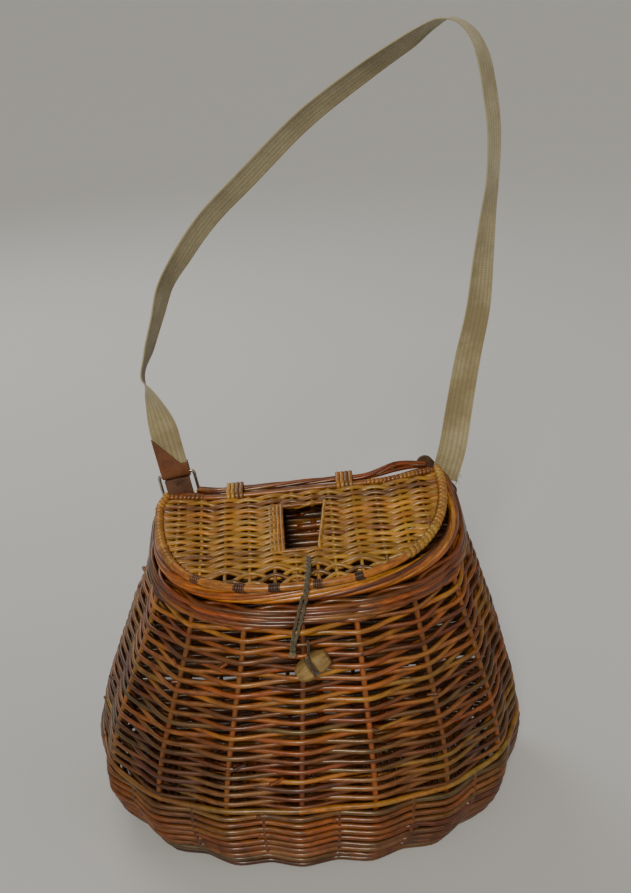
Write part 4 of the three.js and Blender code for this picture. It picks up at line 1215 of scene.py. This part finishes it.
def toggle_frame():
    seat = wall_point(TOGGLE_LEVEL, TOGGLE_PLACE, 0)
    below = wall_point(TOGGLE_LEVEL - 0.04, TOGGLE_PLACE, 0)
    lean = math.atan2(seat[1] - below[1], seat[2] - below[2])
    return (
        Matrix.Translation(seat)
        @ Matrix.Rotation(-lean, 4, "X")
        @ Matrix.Translation((0, -(TOGGLE_RADIUS + TOGGLE_STANDOFF), 0))
        @ Matrix.Rotation(-TOGGLE_TURN, 4, "Y")
    )


def carved_wood():
    material, tree, shader = new_material("carved_wood")
    grain = noise(tree, rod_coords(tree), 1, 4, (40, 14, 1))
    wear = noise(tree, object_coords(tree), 120, 4)
    colour = mix(tree, ramp(tree, grain, 0.35, 0.65), (0.150, 0.090, 0.027), (0.330, 0.215, 0.068))
    colour = mix(tree, ramp(tree, wear, 0.48, 0.70, 0.0, 0.6), colour, (0.085, 0.060, 0.026))
    connect(tree, shader, Base_Color=colour, Roughness=ramp(tree, wear, 0.3, 0.7, 0.42, 0.66))
    bump(tree, shader, grain, 0.4, 0.0005)
    return material


def toggle():
    rng = np.random.default_rng(101)
    sides = 40
    angle = np.arange(sides) / sides * 2 * math.pi
    # Knife cuts flatten the spool a little, mostly where it is thick
    cuts = 0.018 * np.cos(5 * angle + 0.6) + 0.012 * np.cos(8 * angle + 2.1)
    rings = []
    for along, radius in TOGGLE_PROFILE:
        depth = 1 if radius > 0.75 else 0.3
        reach = radius * SPOOL_RADIUS * (1 + cuts * depth) + rng.normal() * 0.03
        ring = (np.full(sides, along * SPOOL_LENGTH), reach * np.cos(angle), reach * np.sin(angle))
        rings.append(np.stack(ring, axis=1))
    rods = Rods()
    rods.add(np.array(rings))
    return rods.build("toggle_spool", carved_wood(), toggle_frame())


def toggle_cord():
    """Two turns of cord in the groove, and a short end that goes up into the wall."""
    rods = Rods()
    t = np.linspace(0, 4 * math.pi, 120)
    reach = GROOVE_RADIUS + TIE_RADIUS * 0.7
    line = np.column_stack((np.linspace(-1.1, 1.1, len(t)), reach * np.cos(t), reach * np.sin(t)))
    place = toggle_frame()
    world = np.array([place @ Vector(point) for point in line])
    rods.rod(world, TIE_CORD_RADIUS, upright=(0.8, 0.1, 0.5))
    top = np.array(place @ Vector((0.5, 3.5, reach)))
    anchor = wall_point(TOGGLE_LEVEL + 0.05, TOGGLE_PLACE - 0.004, 5.0)
    slack = (top + anchor) / 2 + np.array((0.6, -2.0, 1.0))
    rods.rod(spline((top, slack, anchor), 24), TIE_END_RADIUS, upright=(1, 0, 0.2))
    return rods.build("toggle_cord", dark_fibre)


place_piece(toggle(), "basket", "boxwood", "toggle")
place_piece(toggle_cord(), "basket", "cord_olive", "toggle_tie")

# Strap
WEBBING_WIDTH = 25
WEBBING_THICKNESS = 1.8
STRAP_RISE = 373
STRAP_LEAN = 70
WIRE_RADIUS = 1.5
CHAPE_HEIGHT = 38
LEATHER = 2
TAB_RISE = -6
TAB_LENGTH = 52
TAB_WIDTH = 15
FOLD_INNER = WIRE_RADIUS + 0.3
FOLD_OUTER = FOLD_INNER + LEATHER
BACK_CORNER = 0.58
STRAP_PATH = (
    (-0.054, 0.160, 0.09, 35),
    (-0.076, 0.197, 0.16, 58),
    (-0.095, 0.230, 0.23, 92),
    (-0.068, 0.289, 0.34, 108),
    (-0.031, 0.362, 0.48, 114),
    (0.004, 0.432, 0.58, 123),
    (0.066, 0.495, 0.66, 134),
    (0.166, 0.580, 0.74, 138),
    (0.312, 0.673, 0.80, 140),
    (0.527, 0.806, 0.86, 139),
    (0.733, 0.905, 0.89, 135),
    (0.896, 0.975, 0.90, 127),
    (0.982, 1.011, 0.90, 110),
    (1.040, 1.019, 0.89, 86),
    (1.103, 0.993, 0.88, 68),
    (1.143, 0.945, 0.88, 55),
    (1.169, 0.871, 0.87, 52),
    (1.187, 0.786, 0.85, 53),
    (1.186, 0.676, 0.81, 54),
    (1.174, 0.608, 0.77, 47),
    (1.155, 0.497, 0.68, 33),
    (1.134, 0.385, 0.54, 21),
    (1.091, 0.274, 0.35, 12),
    (1.052, 0.162, 0.13, 5),
)


def strap_end(share, height, tilt, stand_off):
    """The frame of a strap end against the outside of the back wall."""
    x = share * HALF_WIDTH
    corner = BACK_CORNER * HALF_WIDTH
    target = min(max(x, -corner), corner)
    right, left = 0.3, 0.7
    for _ in range(40):
        middle = (right + left) / 2
        if plan_points(1, np.array((middle,)))[0][0, 0] > target:
            right = middle
        else:
            left = middle
    wall = wall_point(1, (right + left) / 2, 0)
    return (
        Matrix.Translation((x, wall[1] + stand_off, wall[2] + height))
        @ Matrix.Rotation(math.radians(tilt), 4, "Y")
    )


LEFT_END = strap_end(-0.573, 14, -10, 0.3 + FOLD_OUTER)
RIGHT_END = strap_end(0.6875, -11, 14, 0.3 + WEBBING_THICKNESS / 2)


def strap_line(steps):
    """The webbing's middle line and its turn, in even steps."""
    heights = [WEBBING_THICKNESS + FOLD_INNER, CHAPE_HEIGHT / 2, CHAPE_HEIGHT]
    heights.append(CHAPE_HEIGHT + 2 * LEATHER)
    points = [np.array(LEFT_END @ Vector((0, 0, height))) for height in heights]
    turns = [0.0] * len(points)
    start = np.array(LEFT_END.translation)
    end = np.array(RIGHT_END.translation)
    for across, up, lean, turn in STRAP_PATH:
        raised = np.array((0, lean * STRAP_LEAN, up * STRAP_RISE))
        points.append(start + (end - start) * across + raised)
        turns.append(turn)
    tab_top = TAB_RISE + TAB_LENGTH / 2 + TAB_WIDTH / 4
    for height in (tab_top, TAB_RISE, 0):
        points.append(np.array(RIGHT_END @ Vector((0, 0, height))))
        turns.append(0.0)
    line = spline(points, steps)
    along = run_along(line)
    nearest = [int(np.argmin(np.linalg.norm(line - point, axis=1))) for point in points]
    nearest[0] = 0
    nearest[-1] = steps - 1
    turn = np.interp(along, along[nearest], np.radians(turns))
    kernel = np.hanning(9) / np.hanning(9).sum()
    turn = np.convolve(np.pad(turn, 4, mode="edge"), kernel, mode="valid")
    return line, turn, along


def thread_wave(tree, coords, direction, scale, distortion):
    wave = new_node(tree, "TexWave", Vector=coords, Scale=scale, Distortion=distortion)
    wave.bands_direction = direction
    return wave.outputs["Fac"]


def webbing_material():
    """Flat cotton webbing: fine cross ribs, pale edges, stains and specks."""
    material, tree, shader = new_material("cotton_webbing")
    coords = rod_coords(tree)
    space = object_coords(tree)
    across = parts(tree, coords)[1]
    ribs = thread_wave(tree, coords, "X", 210, 0.6)
    threads = thread_wave(tree, coords, "Y", 8.5, 0.3)
    weave = calculate(tree, "MULTIPLY", ribs, threads)
    edge = calculate(tree, "MINIMUM", from_value(tree, across, 0.25), from_value(tree, across, 0.75))
    stains = noise(tree, space, 22, 5)
    specks = noise(tree, space, 240, 3)
    base = mix(tree, ramp(tree, stains, 0.38, 0.62), (0.250, 0.212, 0.112), (0.430, 0.385, 0.235))
    base = mix(tree, ramp(tree, specks, 0.50, 0.80, 0.0, 0.4), base, (0.170, 0.120, 0.060))
    base = mix(tree, ramp(tree, edge, 0.18, 0.205), base, (0.500, 0.460, 0.300))
    base = mix(tree, ramp(tree, weave, 0.0, 0.7, 0.55, 0.0), base, (0.130, 0.100, 0.050))
    connect(tree, shader, Base_Color=base, Roughness=0.88, Sheen_Weight=0.25)
    bump(tree, shader, weighted(tree, weave, 1.0, specks, 0.5), 0.5, 0.0005)
    return material


# The webbing's section, in shares of its half width and half thickness
QUARTER_SECTION = (
    (1.0, 0.0), (0.985, 0.55), (0.93, 0.80), (0.80, 0.86), (0.76, 0.70), (0.40, 0.72), (0.0, 0.74),
)
UPPER_SECTION = QUARTER_SECTION + tuple((-x, y) for x, y in QUARTER_SECTION[-2::-1])
STRAP_SECTION = UPPER_SECTION + tuple((-x, -y) for x, y in UPPER_SECTION[1:-1])


# The webbing is flat this near to its ends, and cups freely beyond the second length
FLAT_END = 40
FREE_END = 60


def strap():
    rng = np.random.default_rng(103)
    steps = 420
    line, turn, run = strap_line(steps)
    along = unit(np.gradient(line, axis=0))
    flat = unit(np.cross(along, np.array((0.0, 1.0, 0.0))))
    face = unit(np.cross(flat, along))
    across = flat * np.cos(turn)[:, None] + face * np.sin(turn)[:, None]
    outward = unit(np.cross(across, along))
    section = np.array(STRAP_SECTION)
    half = WEBBING_WIDTH / 2 * (1 + wander(rng, steps, 30, 0.006))
    thick = WEBBING_THICKNESS / 2
    free = smooth(np.minimum(run, run[-1] - run), FLAT_END, FREE_END)
    cup = wander(rng, steps, 8, 0.5) * free
    rings = line[:, None, :] + across[:, None, :] * (section[None, :, :1] * half[:, None, None])
    lift = section[None, :, 1:] * thick + cup[:, None, None] * (section[None, :, :1] ** 2 - 0.4)
    rings = rings + outward[:, None, :] * lift
    rods = Rods()
    rods.add(rings)
    return rods.build("strap_webbing", webbing_material()), run[-1]


strap_piece, strap_length = strap()
place_piece(strap_piece, "basket", "webbing", "strap")


FRAYED_THREADS = 46
THREAD_RADIUS = 0.22


def frayed_threads():
    """Loose threads at the webbing's right end."""
    rng, rods = start_rods(107)
    for _ in range(FRAYED_THREADS):
        x = rng.uniform(-12.3, 12.3)
        start = np.array(RIGHT_END @ Vector((x, rng.uniform(-0.6, 0.6), rng.uniform(0.5, 4))))
        drop = rng.uniform(4, 12)
        end = start + np.array((rng.normal() * 2.2, rng.normal() * 0.5, -drop))
        middle = (start + end) / 2 + np.array((rng.normal() * 1.2, 0.4, 0))
        rods.rod(spline((start, middle, end), 8), THREAD_RADIUS, upright=(0, 1, 0), sides=4)
    return rods.build("strap_fray", thread_fibre)


thread_fibre = twine("thread_fibre", (0.330, 0.330, 0.210), (0.150, 0.150, 0.090), 300)
place_piece(frayed_threads(), "basket", "webbing")


# Leather and buckle
def leather_material(name, colour, dark):
    """Worn leather with fine cracks."""
    material, tree, shader = new_material(name)
    space = object_coords(tree)
    pores = noise(tree, space, 900, 3)
    wear = noise(tree, space, 70, 5)
    cracks = new_node(tree, "TexVoronoi", Vector=space, Scale=520)
    cracks.feature = "DISTANCE_TO_EDGE"
    from_crack = cracks.outputs["Distance"]
    base = mix(tree, ramp(tree, wear, 0.35, 0.65), dark, colour)
    base = mix(tree, ramp(tree, from_crack, 0.0, 0.12, 0.45, 0.0), base, dark)
    connect(tree, shader, Base_Color=base, Roughness=ramp(tree, wear, 0.3, 0.7, 0.45, 0.68))
    bump(tree, shader, weighted(tree, ramp(tree, from_crack, 0.0, 0.12), 1.0, pores, 0.4), 0.35, 0.0004)
    return material


FLAT_ANGLE = math.radians(2)
SHARP_ANGLE = math.radians(35)
BEVEL_STEPS = 3


def softened(node, name, material, width):
    """A copy of a CAD solid with its edges rounded."""
    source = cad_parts[node]
    obj = add_object(name, source.data.copy())
    obj.matrix_world = source.matrix_world.copy()
    work = bmesh.new()
    work.from_mesh(obj.data)
    bmesh.ops.remove_doubles(work, verts=work.verts, dist=1e-6)
    bmesh.ops.dissolve_limit(work, angle_limit=FLAT_ANGLE, verts=work.verts, edges=work.edges)
    sharp = [e for e in work.edges if len(e.link_faces) == 2 and e.calc_face_angle() > SHARP_ANGLE]
    bmesh.ops.bevel(
        work, geom=sharp, offset=width * MM, segments=BEVEL_STEPS, profile=0.6, affect="EDGES"
    )
    bmesh.ops.triangulate(work, faces=[f for f in work.faces if len(f.verts) > 4])
    for face in work.faces:
        face.smooth = True
    work.to_mesh(obj.data)
    work.free()
    obj.data.materials.clear()
    obj.data.materials.append(material)
    return obj


chape_leather = leather_material("chape_leather", (0.190, 0.068, 0.022), (0.095, 0.032, 0.012))
billet_leather = leather_material("billet_leather", (0.135, 0.062, 0.034), (0.060, 0.026, 0.016))
tab_leather = leather_material("tab_leather", (0.115, 0.058, 0.026), (0.048, 0.022, 0.011))
chape_piece = softened("strap_chape", "chape_fold", chape_leather, 0.5)
place_piece(chape_piece, "basket", "leather", "strap_chape")
billet_piece = softened("billet", "billet_strip", billet_leather, 0.5)
place_piece(billet_piece, "basket", "leather", "billet")

# The lining seen from its side, as y and z in the frame of the strap's left end
LINING_SIDE = (
    (-1.5, -17), (-1.5, -12), (-1.3, -8.5), (-0.4, -5.6), (2.0, -4.9), (4.4, -3.4), (5.0, 1.5),
)
LINING_HALF_WIDTH = 11.2
LINING_HALF_THICKNESS = 0.7


def billet_lining():
    """A second layer behind the billet that goes up behind the chape's fold."""
    line = spline([(0.0, y, z) for y, z in LINING_SIDE], 30)
    aside, _ = frame_along(line, (1.0, 0.0, 0.0))
    across = np.array((LINING_HALF_WIDTH, 0, 0))
    through = -LINING_HALF_THICKNESS * aside
    corners = ((1, -1), (1, 1), (-1, 1), (-1, -1))
    rods = Rods()
    rods.add(np.stack([line + x * across + y * through for x, y in corners], axis=1))
    return rods.build("billet_lining", billet_leather, LEFT_END)


place_piece(billet_lining(), "basket", "leather")
tab_piece = softened("strap_tab", "tab_strip", tab_leather, 0.6)
place_piece(tab_piece, "basket", "leather", "strap_tab")


def worn_steel():
    material, tree, shader = new_material("worn_steel")
    wear = noise(tree, object_coords(tree), 260, 5)
    colour = mix(tree, ramp(tree, wear, 0.48, 0.68), (0.520, 0.500, 0.460), (0.230, 0.160, 0.100))
    rough = ramp(tree, wear, 0.4, 0.7, 0.22, 0.55)
    connect(tree, shader, Base_Color=colour, Roughness=rough, Metallic=1.0)
    bump(tree, shader, wear, 0.2, 0.0003)
    return material


BUCKLE_HALF_WIDTH = 13.0
BUCKLE_HALF_HEIGHT = 8.0
BUCKLE_CORNER = 3.0
BUCKLE_DROP = 11.0


def buckle():
    """A round wire bent to a rectangle."""
    points = []
    for k, (side, level) in enumerate(((1, 1), (-1, 1), (-1, -1), (1, -1))):
        for i in range(7):
            angle = (k + i / 6) * math.pi / 2
            x = side * BUCKLE_HALF_WIDTH + BUCKLE_CORNER * math.cos(angle)
            z = level * BUCKLE_HALF_HEIGHT + BUCKLE_CORNER * math.sin(angle) - BUCKLE_DROP
            points.append((x, 0, z))
    rods = Rods()
    rods.rod(np.array(points), WIRE_RADIUS, upright=(0, 1, 0), closed=True, sides=14)
    return rods.build("buckle_wire", worn_steel(), LEFT_END)


place_piece(buckle(), "basket", "steel", "buckle")


# Floor and light
FLOOR_REACH = 150.0


def floor():
    mesh = bpy.data.meshes.new("floor")
    corners = [(x * FLOOR_REACH, y * FLOOR_REACH, 0) for x, y in ((-1, -1), (1, -1), (1, 1), (-1, 1))]
    mesh.from_pydata(corners, [], [(0, 1, 2, 3)])
    material, tree, shader = new_material("pale_floor")
    connect(tree, shader, Base_Color=(0.56, 0.58, 0.62), Roughness=0.9)
    mesh.materials.append(material)
    add_object("floor", mesh)


def lamp(kind, name, place, aim, size, power, colour):
    data = bpy.data.lights.new(name, kind)
    if kind == "SUN":
        data.angle = size
    else:
        data.shape = "DISK"
        data.size = size
    data.energy = power
    data.color = colour
    light = add_object(name, data)
    light.location = place
    light.rotation_euler = (Vector(aim) - Vector(place)).to_track_quat("-Z", "Y").to_euler()


floor()
lamp("SUN", "key", (-0.25, -1.3, 1.15), (0, 0, 0.2), math.radians(14), 2.3, (1.0, 0.91, 0.74))
lamp("AREA", "fill", (1.6, -0.6, 1.5), (0, 0, 0.2), 1.6, 4, (1.0, 0.93, 0.82))
lamp("AREA", "rim", (-0.9, 1.5, 1.6), (0, 0, 0.25), 1.4, 14, (1.0, 0.95, 0.86))
world = bpy.data.worlds.new("studio")
world.use_nodes = True
sky = world.node_tree.nodes["Background"]
connect(world.node_tree, sky, Color=(0.92, 0.88, 0.80), Strength=0.24)
bpy.context.scene.world = world
